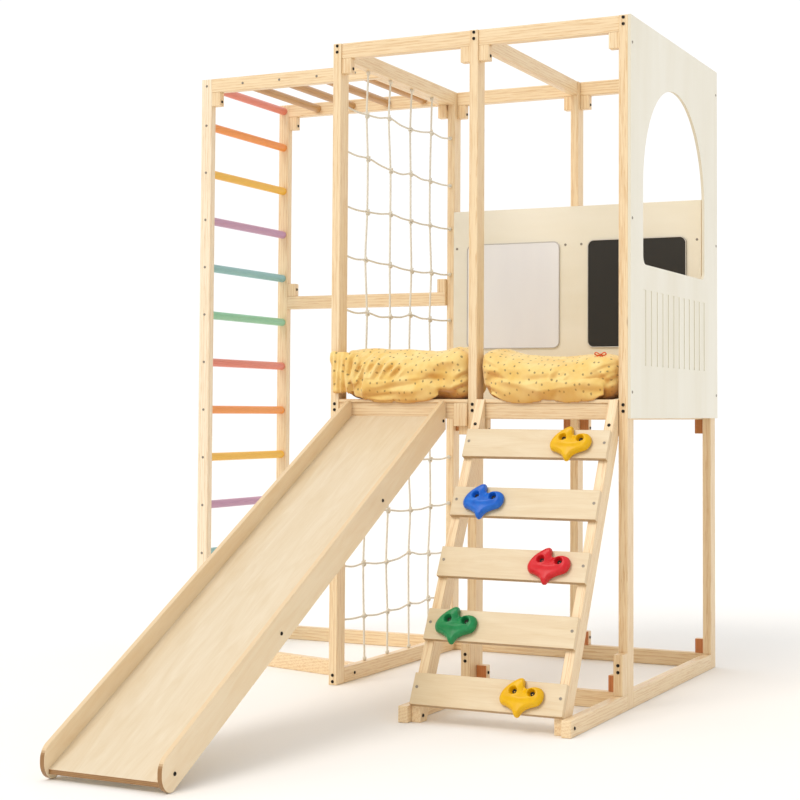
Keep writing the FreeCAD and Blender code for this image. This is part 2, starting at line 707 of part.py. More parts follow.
def cushions():
    """The left bolster's gathered end also lies over the front of the post."""
    wrap = front_roll(D["wrap_gap"], D["wrap_gap"] + D["wrap_long"],
                      D["deck_top"] + D["wrap_up"], D["wrap_high"])
    slide_inner = (D["slide_x"] + D["slide_side"], D["slide_x"] + D["slide_wide"] - D["slide_side"])
    cushion("cushion_left", (D["post_wide"], D["bay_post_x"]), slide_inner, [wrap])
    climb_inner = (BAY_POST_RIGHT + D["post_wide"], D["end_post_x"] - D["post_wide"])
    cushion("cushion_right", (BAY_POST_RIGHT, D["end_post_x"]), climb_inner)


# ---------------------------------------------------------------- fasteners
TURNS = {"-y": (X_AXIS, 90), "+x": (FreeCAD.Vector(0, 1, 0), 90)}
PAIR_TOP = (7, 25)            # how far two bolts lie below the top of a post
PAIR_DECK = (14, 31)          # and below the deck's upper face
PAIR_FOOT = (10, 28)          # and above the floor
PAIR_BLOCK = (104, 122)       # heights of the bolts in the foot blocks
CLEAT_BOLT = 30               # how far a cleat's bolt lies below the rail above it
SIDE_BOLT = 0.62              # share of a slide side's depth where its bolts lie
SLIDE_BOLTS = (18, 392, 908, 1342)
SIDE_SCREWS = (838, 1303, 1776)
BACK_SCREWS = (860, 1322)
RAIL_BOLT_Y = 112             # the bolt in the left base rail
BEAM_BOLT_Y = -408            # the bolt near a floor beam's front end
STRINGER_BOLT_Z = 750         # the bolt near a stringer's head
FOOT_BOLT = (-395, 16)        # y and z of the bolt in a stringer's foot
EDGE_IN = 14                  # how far the panels' screws lie inside an edge
PLANK_SCREW_IN = 12


def fastener(x, y, z, facing, radius, head):
    """The head of a bolt or screw, lying on a face that looks to -Y or +X."""
    disc = doc.addObject("Part::Cylinder", "head")
    bind(disc, Radius=radius, Height=head)
    axis, angle = TURNS[facing]
    spots = [dim(x) - D["centre_x"], dim(y) - D["centre_y"], dim(z)]
    disc.Placement = FreeCAD.Placement(FreeCAD.Vector(), FreeCAD.Rotation(axis, angle))
    for letter, spot in zip("xyz", spots):
        disc.setExpression(f"Placement.Base.{letter}", spot.text)
    soft = doc.addObject("Part::Fillet", "head_eased")
    soft.Base = disc
    edge_radius = dim(head).value * 0.5
    soft.Edges = [(3, edge_radius, edge_radius)]
    return soft


def bolt(x, y, z, facing):
    return fastener(x, y, z, facing, D["bolt_radius"], D["bolt_head"])


def screw(x, y, z, facing):
    return fastener(x, y, z, facing, D["screw_radius"], D["screw_head"])


def frame_bolts():
    half_post = D["post_wide"] / 2
    heads = []
    for x in FRONT_POSTS.values():
        heights = [D["tower_high"] - drop for drop in PAIR_TOP]
        heights += [D["deck_top"] - drop for drop in PAIR_DECK]
        heads += [bolt(x + half_post, 0, z, "-y") for z in heights]
    for z in PAIR_FOOT:
        heads.append(bolt(half_post, 0, z, "-y"))
    for x in (D["bay_post_x"], D["end_post_x"]):
        for z in PAIR_BLOCK:
            heads.append(bolt(x + half_post, -D["block_thick"], z, "-y"))
    front, rear = cleat_spots()
    ladder_spots = ladder_cleat_spots()
    into = D["cleat_thick"] / 2
    under_top, under_deck = TOP_RAIL_Z - CLEAT_BOLT, DECK_RAIL_Z - CLEAT_BOLT
    on_rail = D["rail_high"] + 24
    open_ends = {"top": ([front[0], front[2], rear[0], rear[2]] + ladder_spots[:2], under_top),
                 "deck": ([front[0], front[2], rear[0], rear[2]], under_deck),
                 "low": ([front[2], rear[0], rear[2], ladder_spots[1]], on_rail),
                 "mid": ([ladder_spots[1]], D["mid_rail_z"] + on_rail)}
    for spots, z in open_ends.values():
        heads += [bolt(x + D["cleat_long"], y + into, z, "+x") for x, y in spots]
    rail_middle = D["rail_high"] / 2
    heads.append(bolt(D["post_wide"], RAIL_BOLT_Y, rail_middle, "+x"))
    heads.append(bolt(OUTER_RIGHT, BEAM_BOLT_Y, D["beam_high"] / 2, "+x"))
    group("frame_bolts", heads)


def slide_and_climb_bolts():
    outer = D["slide_x"] + D["slide_wide"]
    down = SIDE_UPRIGHT * SIDE_BOLT
    heads = [bolt(outer, dim(-y), slide_top_at(dim(y)) - down, "+x") for y in SLIDE_BOLTS]
    heads.append(bolt(BAY_POST_RIGHT + D["post_wide"], *FOOT_BOLT, "+x"))
    front = climb_front_at(dim(STRINGER_BOLT_Z))
    for x in (BAY_POST_RIGHT, D["end_post_x"] - D["post_wide"]):
        heads.append(sloping_head(x + D["post_wide"] / 2, front, STRINGER_BOLT_Z,
                                  D["bolt_radius"], D["bolt_head"]))
    group("slide_bolts", heads)


def sloping_head(x, y, z, radius, head):
    """The head of a bolt or screw, square to the climbing board."""
    disc = doc.addObject("Part::Cylinder", "sloping_head")
    bind(disc, Radius=radius, Height=head)
    place(disc, x, y, z, LEAN + 90)
    return disc


def panel_screws():
    outer = OUTER_RIGHT + D["panel_thick"]
    front = REAR_FACE - D["panel_thick"]
    heads = [screw(outer, y, z, "+x") for y in (EDGE_IN, BACK - EDGE_IN) for z in SIDE_SCREWS]
    columns = (D["post_wide"] + EDGE_IN, D["rear_post_x"] - EDGE_IN,
               REAR_POST_RIGHT + EDGE_IN, D["end_post_x"] - EDGE_IN)
    heads += [screw(x, front, z, "-y") for x in columns for z in BACK_SCREWS]
    group("panel_screws", heads)


def wood_screws():
    front = D["ladder_y"]
    bar_z = D["tower_high"] - D["bar_drop"]
    heads = [screw(LADDER_MIDDLE + D["bar_pitch"] * number, front, bar_z, "-y")
             for number in range(BAR_COUNT + 1)]
    heads.append(screw(-D["rail_thick"] / 2, front, bar_z - 6, "-y"))
    heads += [screw(LADDER_MIDDLE, front, D["rung_first"] + D["rung_pitch"] * number, "-y")
              for number in range(RUNG_COUNT)]
    group("wood_screws", heads + plank_screws())


def plank_screws():
    """One screw near each end of each plank, square to the sloping board."""
    heads = []
    for number in range(PLANK_COUNT):
        y, z = plank_face(number, 0.55)
        heads += [sloping_head(x, y, z, D["screw_radius"], D["screw_head"])
                  for x in (BAY_POST_RIGHT + PLANK_SCREW_IN, D["end_post_x"] - PLANK_SCREW_IN)]
    return heads


def check_and_write():
    """Refuse anything broken, then write one STEP file per node."""
    doc.recompute()
    for obj in doc.Objects:
        if any(word in obj.State for word in ("Invalid", "Error")):
            raise RuntimeError(obj.Name + " did not build")
    for label, obj in NODES.items():
        shape = obj.Shape
        if shape.isNull() or not shape.isValid() or shape.Volume <= 0:
            raise RuntimeError(label + " has no valid shape")
        shape.exportStep(f"parts/{label}.step")
        box = shape.BoundBox
        print(f"{label:24s} solids {len(shape.Solids):2d}  {box.XLength:7.1f} x {box.YLength:7.1f}"
              f" x {box.ZLength:7.1f}")
    print(len(NODES), "nodes")


posts()
rails()
deck()
ladder()
oblique_rail()
cleats()
slide()
climbing_board()
holds()
floor_beams()
back_wall()
side_wall()
net()
cushions()
frame_bolts()
slide_and_climb_bolts()
panel_screws()
wood_screws()
check_and_write()
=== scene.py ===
import math
import random

import bmesh
import bpy
import numpy as np
from mathutils import Matrix, Vector, noise


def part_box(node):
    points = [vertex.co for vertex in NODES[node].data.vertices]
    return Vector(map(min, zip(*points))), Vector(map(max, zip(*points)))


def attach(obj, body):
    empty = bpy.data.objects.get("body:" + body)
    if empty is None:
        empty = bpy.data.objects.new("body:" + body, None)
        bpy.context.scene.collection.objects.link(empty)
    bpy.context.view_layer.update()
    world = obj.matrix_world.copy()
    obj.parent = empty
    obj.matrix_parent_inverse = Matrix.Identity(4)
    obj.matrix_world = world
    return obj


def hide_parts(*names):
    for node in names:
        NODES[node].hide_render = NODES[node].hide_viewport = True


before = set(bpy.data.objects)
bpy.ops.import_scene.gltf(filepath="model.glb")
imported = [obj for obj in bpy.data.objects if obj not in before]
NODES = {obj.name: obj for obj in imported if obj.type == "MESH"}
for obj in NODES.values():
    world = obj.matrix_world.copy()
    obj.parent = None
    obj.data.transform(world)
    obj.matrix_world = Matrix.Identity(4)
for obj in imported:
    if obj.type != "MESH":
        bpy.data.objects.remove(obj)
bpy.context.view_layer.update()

MM = 0.001
SLIDE_ANGLE = math.radians(28.55)
CLIMB_ANGLE = math.radians(62.35)


# ---------------------------------------------------------------- colours and shader nodes
def srgb(code):
    """Linear colour from a hexadecimal one."""
    parts = [int(code[i:i + 2], 16) / 255 for i in (1, 3, 5)]
    linear = [c / 12.92 if c <= 0.04045 else ((c + 0.055) / 1.055) ** 2.4 for c in parts]
    return (*linear, 1.0)


class Shader:
    """A material under construction: add() makes a node and wires or sets its inputs."""

    def __init__(self, name, roughness=0.5, **settings):
        self.material = bpy.data.materials.new(name)
        self.material.use_nodes = True
        self.tree = self.material.node_tree
        self.surface = self.tree.nodes["Principled BSDF"]
        self.surface.inputs["Roughness"].default_value = roughness
        for key, value in settings.items():
            self.surface.inputs[key.replace("_", " ")].default_value = value
        self.place = self.add("ShaderNodeTexCoord").outputs["Object"]

    def add(self, kind, inputs=None, **settings):
        node = self.tree.nodes.new(kind)
        for key, value in settings.items():
            setattr(node, key, value)
        for key, value in (inputs or {}).items():
            self.wire(node.inputs[key], value)
        return node

    def wire(self, socket, value):
        if isinstance(value, bpy.types.NodeSocket):
            self.tree.links.new(value, socket)
        else:
            socket.default_value = value

    def math(self, operation, *values, clamp=False):
        node = self.add("ShaderNodeMath", dict(enumerate(values)), operation=operation)
        node.use_clamp = clamp
        return node.outputs[0]

    def dot(self, vector, axis):
        node = self.add("ShaderNodeVectorMath", {0: vector, 1: axis}, operation="DOT_PRODUCT")
        return node.outputs["Value"]

    def turned(self, vector, turn=(0, 0, 0), scale=(1, 1, 1), shift=(0, 0, 0)):
        """A vector turned, then scaled and shifted."""
        first = self.add("ShaderNodeMapping", {"Vector": vector, "Rotation": turn})
        second = self.add("ShaderNodeMapping", {"Vector": first.outputs[0], "Scale": scale,
                                                "Location": shift})
        return second.outputs[0]

    def noise(self, vector, scale, detail=2.0, rough=0.5, distortion=0.0):
        node = self.add("ShaderNodeTexNoise", {"Vector": vector, "Scale": scale, "Detail": detail,
                                               "Roughness": rough, "Distortion": distortion})
        return node.outputs["Fac"]

    def ramp(self, value, *stops):
        """A smooth ramp through (place, colour or grey) stops."""
        node = self.add("ShaderNodeValToRGB", {"Fac": value})
        ramp = node.color_ramp
        while len(ramp.elements) < len(stops):
            ramp.elements.new(0.5)
        for element, (place, colour) in zip(ramp.elements, stops):
            element.position = place
            element.color = colour if isinstance(colour, tuple) else (colour, colour, colour, 1)
        return node.outputs["Color"]

    def mix(self, share, first, second, blend="MIX"):
        node = self.add("ShaderNodeMix", {0: share, 6: first, 7: second}, data_type="RGBA",
                        blend_type=blend)
        return node.outputs[2]

    def bump(self, height, distance, strength=1.0, before=None):
        inputs = {"Height": height, "Distance": distance, "Strength": strength}
        if before:
            inputs["Normal"] = before
        return self.add("ShaderNodeBump", inputs).outputs["Normal"]

    def finish(self, colour, normal=None, roughness=None):
        self.wire(self.surface.inputs["Base Color"], colour)
        if normal:
            self.wire(self.surface.inputs["Normal"], normal)
        if roughness:
            self.wire(self.surface.inputs["Roughness"], roughness)
        return self.material


# Turns that bring a piece's grain onto the X axis
GRAIN = {
    "x": (0, 0, 0),
    "y": (0, 0, -math.pi / 2),
    "z": (0, math.pi / 2, 0),
    "slide": (-SLIDE_ANGLE, 0, -math.pi / 2),
    "climb": (-CLIMB_ANGLE, 0, -math.pi / 2),
}


def grain_layers(shader, turn, seed):
    """Growth lines, fine fibres and broad tone of sawn pine, each from 0 to 1."""
    place = shader.turned(shader.place, turn, (0.022, 1, 1), (seed * 0.37, seed * 0.11, seed * 0.23))
    rings = shader.add("ShaderNodeTexWave", {
        "Vector": place, "Scale": 40.0, "Distortion": 7.0, "Detail": 2.0, "Detail Scale": 11.0,
        "Detail Roughness": 0.55}, wave_type="RINGS", rings_direction="X", wave_profile="SAW")
    fibres = shader.noise(shader.turned(place, scale=(0.4, 1, 1)), 800.0, 3.0, 0.6)
    tone = shader.noise(place, 14.0, 2.0)
    return rings.outputs["Fac"], fibres, tone


def pine_layers(name, grain, seed, light, dark, knots):
    """The shader, colour, bump and roughness of planed pine with a few knots."""
    shader = Shader(name, roughness=0.42, Coat_Weight=0.12, Coat_Roughness=0.3)
    rings, fibres, tone = grain_layers(shader, GRAIN[grain], seed)
    line = shader.ramp(rings, (0.0, 0.0), (0.5, 0.1), (0.88, 0.95), (1.0, 0.1))
    share = shader.math("MULTIPLY", line, 0.62)
    share = shader.math("ADD", share, shader.math("MULTIPLY", fibres, 0.3))
    share = shader.math("ADD", share, shader.math("MULTIPLY", tone, 0.34))
    share = shader.math("SUBTRACT", share, 0.27, clamp=True)
    colour = shader.mix(share, srgb(light), srgb(dark))
    spot = shader.turned(shader.place, GRAIN[grain], (0.45, 1, 1), (seed * 1.7, 0.2, seed * 0.9))
    knot = shader.add("ShaderNodeTexVoronoi", {"Vector": spot, "Scale": 5.5, "Randomness": 1.0})
    ring = shader.ramp(knot.outputs["Distance"], (0.0, 1.0), (0.035, 0.85), (0.06, 0.0), (1.0, 0.0))
    colour = shader.mix(shader.math("MULTIPLY", ring, knots), colour, srgb("#8A5A2E"))
    normal = shader.bump(fibres, 0.0006, 0.35)
    rough = shader.math("ADD", shader.math("MULTIPLY", fibres, 0.2), 0.33)
    return shader, colour, normal, rough


PINE_LIGHT, PINE_DARK, PINE_KNOTS = "#F4DDB6", "#D0A062", 0.8


def pine(name, grain, seed=0, light=PINE_LIGHT, dark=PINE_DARK, knots=PINE_KNOTS):
    shader, colour, normal, rough = pine_layers(name, grain, seed, light, dark, knots)
    return shader.finish(colour, normal, rough)


def pine_with_browner_front(name, grain, seed, face, axis, test, limit):
    """Pine whose faces that look to the front are browner, on one side of a limit along an axis."""
    shader, colour, normal, rough = pine_layers(name, grain, seed, PINE_LIGHT, PINE_DARK,
                                                PINE_KNOTS)
    facing = shader.add("ShaderNodeNewGeometry").outputs["Normal"]
    parts = shader.add("ShaderNodeSeparateXYZ", {0: shader.place})
    within = shader.math(test, parts.outputs[axis], limit)
    # Painted shade on the deck's rear cleats under the deck: their front faces are multiplied toward
    # brown. The low cleats' fronts get a redder brown the same way.
    share = shader.math("MULTIPLY", shader.dot(facing, (0, -1, 0)), within)
    brown = shader.mix(share, colour, srgb(face), blend="MULTIPLY")
    return shader.finish(brown, normal, rough)


def veneer_colour(shader, turn, light, dark, seed=0):
    """Flame-like grain of a peeled birch face."""
    place = shader.turned(shader.place, turn, (0.14, 1, 1), (seed, seed * 0.6, seed * 0.3))
    flame = shader.noise(place, 34.0, 3.0, 0.55, 1.2)
    fleck = shader.noise(shader.turned(place, scale=(0.3, 1, 1)), 420.0, 2.0)
    share = shader.math("ADD", shader.math("MULTIPLY", flame, 0.75),
                        shader.math("MULTIPLY", fleck, 0.3), clamp=True)
    spread = shader.ramp(share, (0.3, 0.0), (0.75, 1.0))
    return shader.mix(spread, srgb(light), srgb(dark)), fleck


PLY_LAYER = 3 * MM


def plywood(name, across, grain, light, dark, edge="#80592F", edge_light="#B08552", seed=0,
            pale="#DDBF92", roughness=0.4, coat=0.15):
    """Layered board: veneer on its faces and glued layers on its edges. Edges that look forward and
    down keep the dark layers, partly darker end grain and partly painted shade, as on the planks' lower
    edges; the other edges are paler.
    """
    shader = Shader(name, roughness=roughness, Coat_Weight=coat, Coat_Roughness=0.25)
    colour, fleck = veneer_colour(shader, GRAIN[grain], light, dark, seed)
    normal = shader.add("ShaderNodeNewGeometry").outputs["True Normal"]
    facing = shader.math("ABSOLUTE", shader.dot(normal, across))
    depth = shader.math("MULTIPLY", shader.dot(shader.place, across), 2 * math.pi / PLY_LAYER)
    layer = shader.math("MULTIPLY_ADD", shader.math("SINE", depth), 0.5, 0.5)
    smoke = shader.noise(shader.place, 60.0, 2.0)
    layer = shader.math("ADD", shader.math("MULTIPLY", layer, 0.6),
                        shader.math("MULTIPLY", smoke, 0.4))
    layers = shader.mix(layer, srgb(edge), srgb(edge_light))
    # Painted shade in part: edges that look forward and down take the dark layers, the others a paler
    # mix.
    ahead = shader.dot(normal, (0, -1, -0.35))
    sides = shader.mix(shader.math("MULTIPLY", layer, 0.5), srgb(pale), srgb(light))
    layers = shader.mix(shader.ramp(ahead, (0.6, 0.0), (0.85, 1.0)), sides, layers)
    on_face = shader.ramp(facing, (0.55, 0.0), (0.75, 1.0))
    colour = shader.mix(on_face, layers, colour)
    return shader.finish(colour, shader.bump(fleck, 0.0003, 0.25))


def painted(name, grain, base, worn, roughness=0.45):
    """Satin paint on turned wood: the grain shows faintly and the tone drifts."""
    shader = Shader(name, roughness=roughness, Coat_Weight=0.2, Coat_Roughness=0.3)
    place = shader.turned(shader.place, GRAIN[grain], (0.08, 1, 1))
    fibres = shader.noise(place, 500.0, 3.0)
    tone = shader.noise(place, 26.0, 2.0)
    share = shader.ramp(shader.math("MULTIPLY_ADD", fibres, 0.45, shader.math("MULTIPLY", tone, 0.55)),
                        (0.3, 0.0), (0.8, 1.0))
    return shader.finish(shader.mix(share, srgb(base), srgb(worn)), shader.bump(fibres, 0.0004, 0.3))


def board_paint(name, across, base, shade, edge="#D9BE94", roughness=0.5, coat=0.0, grain="z"):
    """Painted or coated board with a faint mottle, and bare wood on its narrow edges."""
    shader = Shader(name, roughness=roughness, Coat_Weight=coat, Coat_Roughness=0.12)
    place = shader.turned(shader.place, GRAIN[grain], (0.2, 1, 1))
    cloud = shader.noise(place, 6.0, 3.0, 0.6)
    fine = shader.noise(shader.place, 700.0, 2.0)
    share = shader.ramp(cloud, (0.35, 0.0), (0.7, 1.0))
    colour = shader.mix(share, srgb(base), srgb(shade))
    normal = shader.add("ShaderNodeNewGeometry").outputs["True Normal"]
    facing = shader.math("ABSOLUTE", shader.dot(normal, across))
    colour = shader.mix(shader.ramp(facing, (0.3, 0.0), (0.5, 1.0)), srgb(edge), colour)
    rough = shader.math("MULTIPLY_ADD", cloud, 0.12, roughness - 0.06)
    return shader.finish(colour, shader.bump(fine, 0.0002, 0.2), rough)


def moulded(name, base, bright):
    """Moulded plastic of a climbing hold: speckled, with a fine sandy grip."""
    shader = Shader(name, roughness=0.38, Coat_Weight=0.1, Coat_Roughness=0.2,
                    Specular_IOR_Level=0.3)
    sand = shader.noise(shader.place, 900.0, 3.0, 0.7)
    cloud = shader.noise(shader.place, 45.0, 2.0)
    colour = shader.mix(shader.ramp(cloud, (0.35, 0.0), (0.7, 1.0)), srgb(base), srgb(bright))
    rough = shader.math("MULTIPLY_ADD", sand, 0.2, 0.26)
    return shader.finish(colour, shader.bump(sand, 0.0005, 0.35), rough)


def metal(name, colour, shade, roughness, metallic=1.0):
    shader = Shader(name, roughness=roughness, Metallic=metallic)
    grit = shader.noise(shader.place, 1500.0, 3.0)
    tone = shader.mix(shader.ramp(grit, (0.35, 0.0), (0.7, 1.0)), srgb(colour), srgb(shade))
    rough = shader.math("MULTIPLY_ADD", grit, 0.2, roughness - 0.1)
    return shader.finish(tone, shader.bump(grit, 0.0001, 0.3), rough)


def cotton(name, base, fold, dot_colour):
    """Yellow cotton with scattered dark dots and a plain weave, with painted shade: deeper orange where
    it looks down.
    """
    shader = Shader(name, roughness=0.85, Sheen_Weight=0.35, Sheen_Roughness=0.5)
    drift = shader.noise(shader.place, 22.0, 3.0)
    colour = shader.mix(shader.ramp(drift, (0.35, 0.0), (0.72, 1.0)), srgb(base), srgb(fold))
    flat = shader.add("ShaderNodeUVMap", uv_map="cloth").outputs["UV"]
    wobble = shader.add("ShaderNodeTexNoise", {"Vector": flat, "Scale": 170.0})
    shifted = shader.add("ShaderNodeVectorMath", {0: wobble.outputs["Color"], 1: (0.004,) * 3},
                         operation="MULTIPLY").outputs[0]
    moved = shader.add("ShaderNodeVectorMath", {0: flat, 1: shifted}, operation="ADD")
    cells = shader.add("ShaderNodeTexVoronoi", {"Vector": moved.outputs[0], "Scale": 44.0,
                                                "Randomness": 0.6}, voronoi_dimensions="2D")
    dots = shader.ramp(cells.outputs["Distance"], (0.08, 1.0), (0.15, 0.0))
    colour = shader.mix(shader.math("MULTIPLY", dots, 0.72), colour, srgb(dot_colour))
    facing = shader.add("ShaderNodeNewGeometry").outputs["Normal"]
    # Painted shade: faces that look down are mixed toward deep orange.
    low = shader.ramp(shader.dot(facing, (0, -0.15, -1)), (0.0, 0.0), (0.25, 0.25), (0.9, 1.0))
    colour = shader.mix(shader.math("MULTIPLY", low, 0.8), colour, srgb("#D08A2C"))
    warp = shader.add("ShaderNodeTexWave", {"Vector": shader.place, "Scale": 330.0,
                                            "Distortion": 0.6}, bands_direction="X")
    weft = shader.add("ShaderNodeTexWave", {"Vector": shader.place, "Scale": 330.0,
                                            "Distortion": 0.6}, bands_direction="Z")
    weave = shader.math("MULTIPLY", warp.outputs["Fac"], weft.outputs["Fac"])
    crumple = shader.noise(shader.place, 55.0, 3.0, 0.5, 0.8)
    normal = shader.bump(weave, 0.0002, 0.4, shader.bump(crumple, 0.003, 0.45))
    return shader.finish(colour, normal)


def twine(name, base, shade):
    """Soft twisted rope: fibre fuzz and a tone that drifts at random."""
    shader = Shader(name, roughness=0.9, Sheen_Weight=0.3, Sheen_Roughness=0.6)
    fuzz = shader.noise(shader.place, 1400.0, 3.0, 0.7)
    tone = shader.noise(shader.place, 60.0, 2.0)
    share = shader.math("MULTIPLY_ADD", fuzz, 0.6, shader.math("MULTIPLY", tone, 0.4))
    colour = shader.mix(shader.ramp(share, (0.35, 0.0), (0.7, 1.0)), srgb(base), srgb(shade))
    return shader.finish(colour, shader.bump(fuzz, 0.0006, 0.5))


def give(material, *names):
    """Put one material on every slot of these CAD nodes."""
    for name in names:
        slots = NODES[name].data.materials
        if not slots:
            slots.append(material)
        for number in range(len(slots)):
            slots[number] = material


# ---------------------------------------------------------------- mesh helpers
def new_piece(name, verts, faces, material, body="frame", smooth=True, hides=()):
    mesh = bpy.data.meshes.new(name)
    mesh.from_pydata([tuple(v) for v in verts], [], faces)
    mesh.update()
    if smooth:
        mesh.polygons.foreach_set("use_smooth", [True] * len(mesh.polygons))
    mesh.materials.append(material)
    piece = bpy.data.objects.new(name, mesh)
    bpy.context.scene.collection.objects.link(piece)
    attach(piece, body)
    if hides:
        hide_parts(*hides)
    return piece


def solids(node):
    """The corner points of each separate solid of a CAD node, one array per solid."""
    bm = bmesh.new()
    bm.from_mesh(NODES[node].data)
    bmesh.ops.remove_doubles(bm, verts=bm.verts, dist=1e-5)
    found, seen = [], set()
    for start in bm.verts:
        if start.index in seen:
            continue
        seen.add(start.index)
        queue, points = [start], []
        while queue:
            vert = queue.pop()
            points.append(tuple(vert.co))
            for edge in vert.link_edges:
                other = edge.other_vert(vert)
                if other.index not in seen:
                    seen.add(other.index)
                    queue.append(other)
        found.append(np.array(points))
    bm.free()
    return found


class Heap:
    """Vertices and faces of many small shapes that become one piece."""

    def __init__(self):
        self.verts, self.faces = [], []

    def rings(self, rings, closed=False, caps=True):
        """Skin a row of rings that have the same number of points."""
        first, count = len(self.verts), len(rings[0])
        for ring in rings:
            self.verts.extend(ring)
        turns = len(rings) if closed else len(rings) - 1
        for step in range(turns):
            a, b = first + step * count, first + (step + 1) % len(rings) * count
            for i in range(count):
                j = (i + 1) % count
                self.faces.append((a + i, a + j, b + j, b + i))
        if caps and not closed:
            self.faces.append(tuple(first + i for i in reversed(range(count))))
            last = first + (len(rings) - 1) * count
            self.faces.append(tuple(last + i for i in range(count)))

    def tube(self, points, radius, sides=8, lobes=0, pitch=0.02, closed=False):
        """A tube along points. With lobes its section is a twisted rope's."""
        points = [Vector(p) for p in points]
        count = len(points)
        rings, travelled, across = [], 0.0, None
        for i, point in enumerate(points):
            ahead = points[(i + 1) % count] if closed or i < count - 1 else point
            behind = points[i - 1] if closed or i > 0 else point
            along = (ahead - behind).normalized()
            if across is None:
                across = along.orthogonal().normalized()
            across = (across - along * across.dot(along)).normalized()
            third = along.cross(across)
            if i:
                travelled += (point - points[i - 1]).length
            ring = []
            for k in range(sides):
                angle = 2 * math.pi * k / sides
                size = radius
                if lobes:
                    twist = 2 * math.pi * travelled / pitch
                    size *= 0.8 + 0.2 * abs(math.cos(lobes / 2 * angle - twist))
                ring.append(point + (across * math.cos(angle) + third * math.sin(angle)) * size)
            rings.append(ring)
        self.rings(rings, closed)


def smooth_path(points, step):
    """Points every step along a Catmull-Rom line through the given ones."""
    points = [Vector(p) for p in points]
    ends = [points[0] * 2 - points[1]] + points + [points[-1] * 2 - points[-2]]
    path = []
    for a, b, c, d in zip(ends, ends[1:], ends[2:], ends[3:]):
        parts = max(2, int((c - b).length / step))
        for k in range(parts):
            t = k / parts
            path.append(0.5 * ((2 * b) + (c - a) * t + (2 * a - 5 * b + 4 * c - d) * t * t
                               + (3 * b - a - 3 * c + d) * t ** 3))
    path.append(points[-1])
    return path


# ---------------------------------------------------------------- timber and boards
CLIMB_FACE = (0, -math.sin(CLIMB_ANGLE), math.cos(CLIMB_ANGLE))
SLIDE_FACE = (0, -math.sin(SLIDE_ANGLE), math.cos(SLIDE_ANGLE))


REAR_HALF = 0.6         # further back than this the deck's cleats are the brown ones
NEAR_FLOOR = 0.3        # and lower than this the ones on the rails


def dress_timber():
    posts = ["post_front_left", "post_front_middle", "post_front_right",
             "post_rear_left", "post_rear_middle", "post_rear_right"]
    for number, name in enumerate(posts):
        give(pine(f"pine_{name}", "z", number + 1), name)
    # The front ladder post gets a lighter copy of the pine: painted light for the brighter left end.
    give(pine("pine_ladder_front", "z", 8, light="#FAECD2", dark="#DDBB8C"), "ladder_post_front")
    give(pine("pine_ladder_rear", "z", 9), "ladder_post_rear")
    give(pine("pine_across", "x", 11), "top_rails_front", "deck_rails_front", "mid_rail",
         "base_rail_ladder", "base_rail_oblique", "base_rails_cross", "deck_boards")
    give(pine("pine_across_rear", "x", 12), "top_rails_rear", "deck_rails_rear",
         "monkey_rail_front", "monkey_rail_rear", "slide_cross_bars")
    give(pine("pine_deep", "y", 13), "top_rails_side", "base_rails_side", "deck_joists",
         "monkey_end_rail", "floor_beams")
    give(pine("pine_upright", "z", 14), "foot_blocks", "panel_battens")
    give(pine("pine_cleat_top", "z", 17), "cleats_top")
    # The rear deck cleats' browner fronts are painted shade from the deck above.
    give(pine_with_browner_front("pine_cleat_deck", "z", 19, "#C79468", "Y", "GREATER_THAN", REAR_HALF),
         "cleats_deck")
    give(pine_with_browner_front("pine_cleat_low", "z", 18, "#D99A70", "Z", "LESS_THAN", NEAR_FLOOR),
         "cleats_low")
    give(pine("pine_stringer", "climb", 15), "climb_stringer_left", "climb_stringer_right")
    give(pine("dowel", "y", 16, light="#C99A60", dark="#9C6A36"), "monkey_bars")
    for colour, (base, worn) in RUNGS.items():
        give(painted(f"paint_{colour}", "y", base, worn), f"rungs_{colour}")


RUNGS = {
    "red": ("#DF705A", "#EA9682"), "orange": ("#F08A2A", "#F5A652"),
    "yellow": ("#F0B41E", "#F5C84C"), "mauve": ("#BE8DB0", "#CDA6C2"),
    "blue": ("#84B9BC", "#9CCACB"), "green": ("#84C79E", "#A0D6B4"),
}


def dress_boards():
    cream, cream_dark = "#E6D8BE", "#DAC6A3"
    give(plywood("ply_slide_side", (1, 0, 0), "slide", "#F3E0BF", "#EACFA6"),
         "slide_side_left", "slide_side_right")
    give(plywood("ply_slide_bed", SLIDE_FACE, "slide", cream, cream_dark, seed=3), "slide_bed")
    give(plywood("ply_planks", CLIMB_FACE, "x", "#E0CFAE", "#D3BB92", seed=5), "climb_planks")
    give(board_paint("cream_back", (0, 1, 0), "#EFEADA", "#E8E1CC", "#DCCDAE", grain="x"), "back_panel")
    give(board_paint("cream_side", (1, 0, 0), "#F4F0E2", "#EEE8D6", "#E2DAC4"), "side_panel")
    give(board_paint("white_coat", (0, 1, 0), "#ECECEC", "#E6E6E8", "#D2CFCA", 0.25, 0.3),
         "whiteboard")
    give(board_paint("chalk_coat", (0, 1, 0), "#24221D", "#2F2D28", "#5A5750", 0.75), "chalkboard")


def rim(name, node, material):
    """A thin half-round beading round the front edge of a wall board."""
    low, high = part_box(node)
    corner, radius = 20 * MM, 1.5 * MM
    inset = radius * 0.8
    points = []
    middle = ((high.x - inset - corner, high.z - inset - corner),
              (low.x + inset + corner, high.z - inset - corner),
              (low.x + inset + corner, low.z + inset + corner),
              (high.x - inset - corner, low.z + inset + corner))
    for quarter, (x, z) in enumerate(middle):
        for k in range(9):
            angle = math.pi / 2 * (quarter + k / 8)
            points.append((x + corner * math.cos(angle), low.y - 0.2 * MM,
                           z + corner * math.sin(angle)))
    heap = Heap()
    heap.tube(points, radius, closed=True)
    return new_piece(name, heap.verts, heap.faces, material)


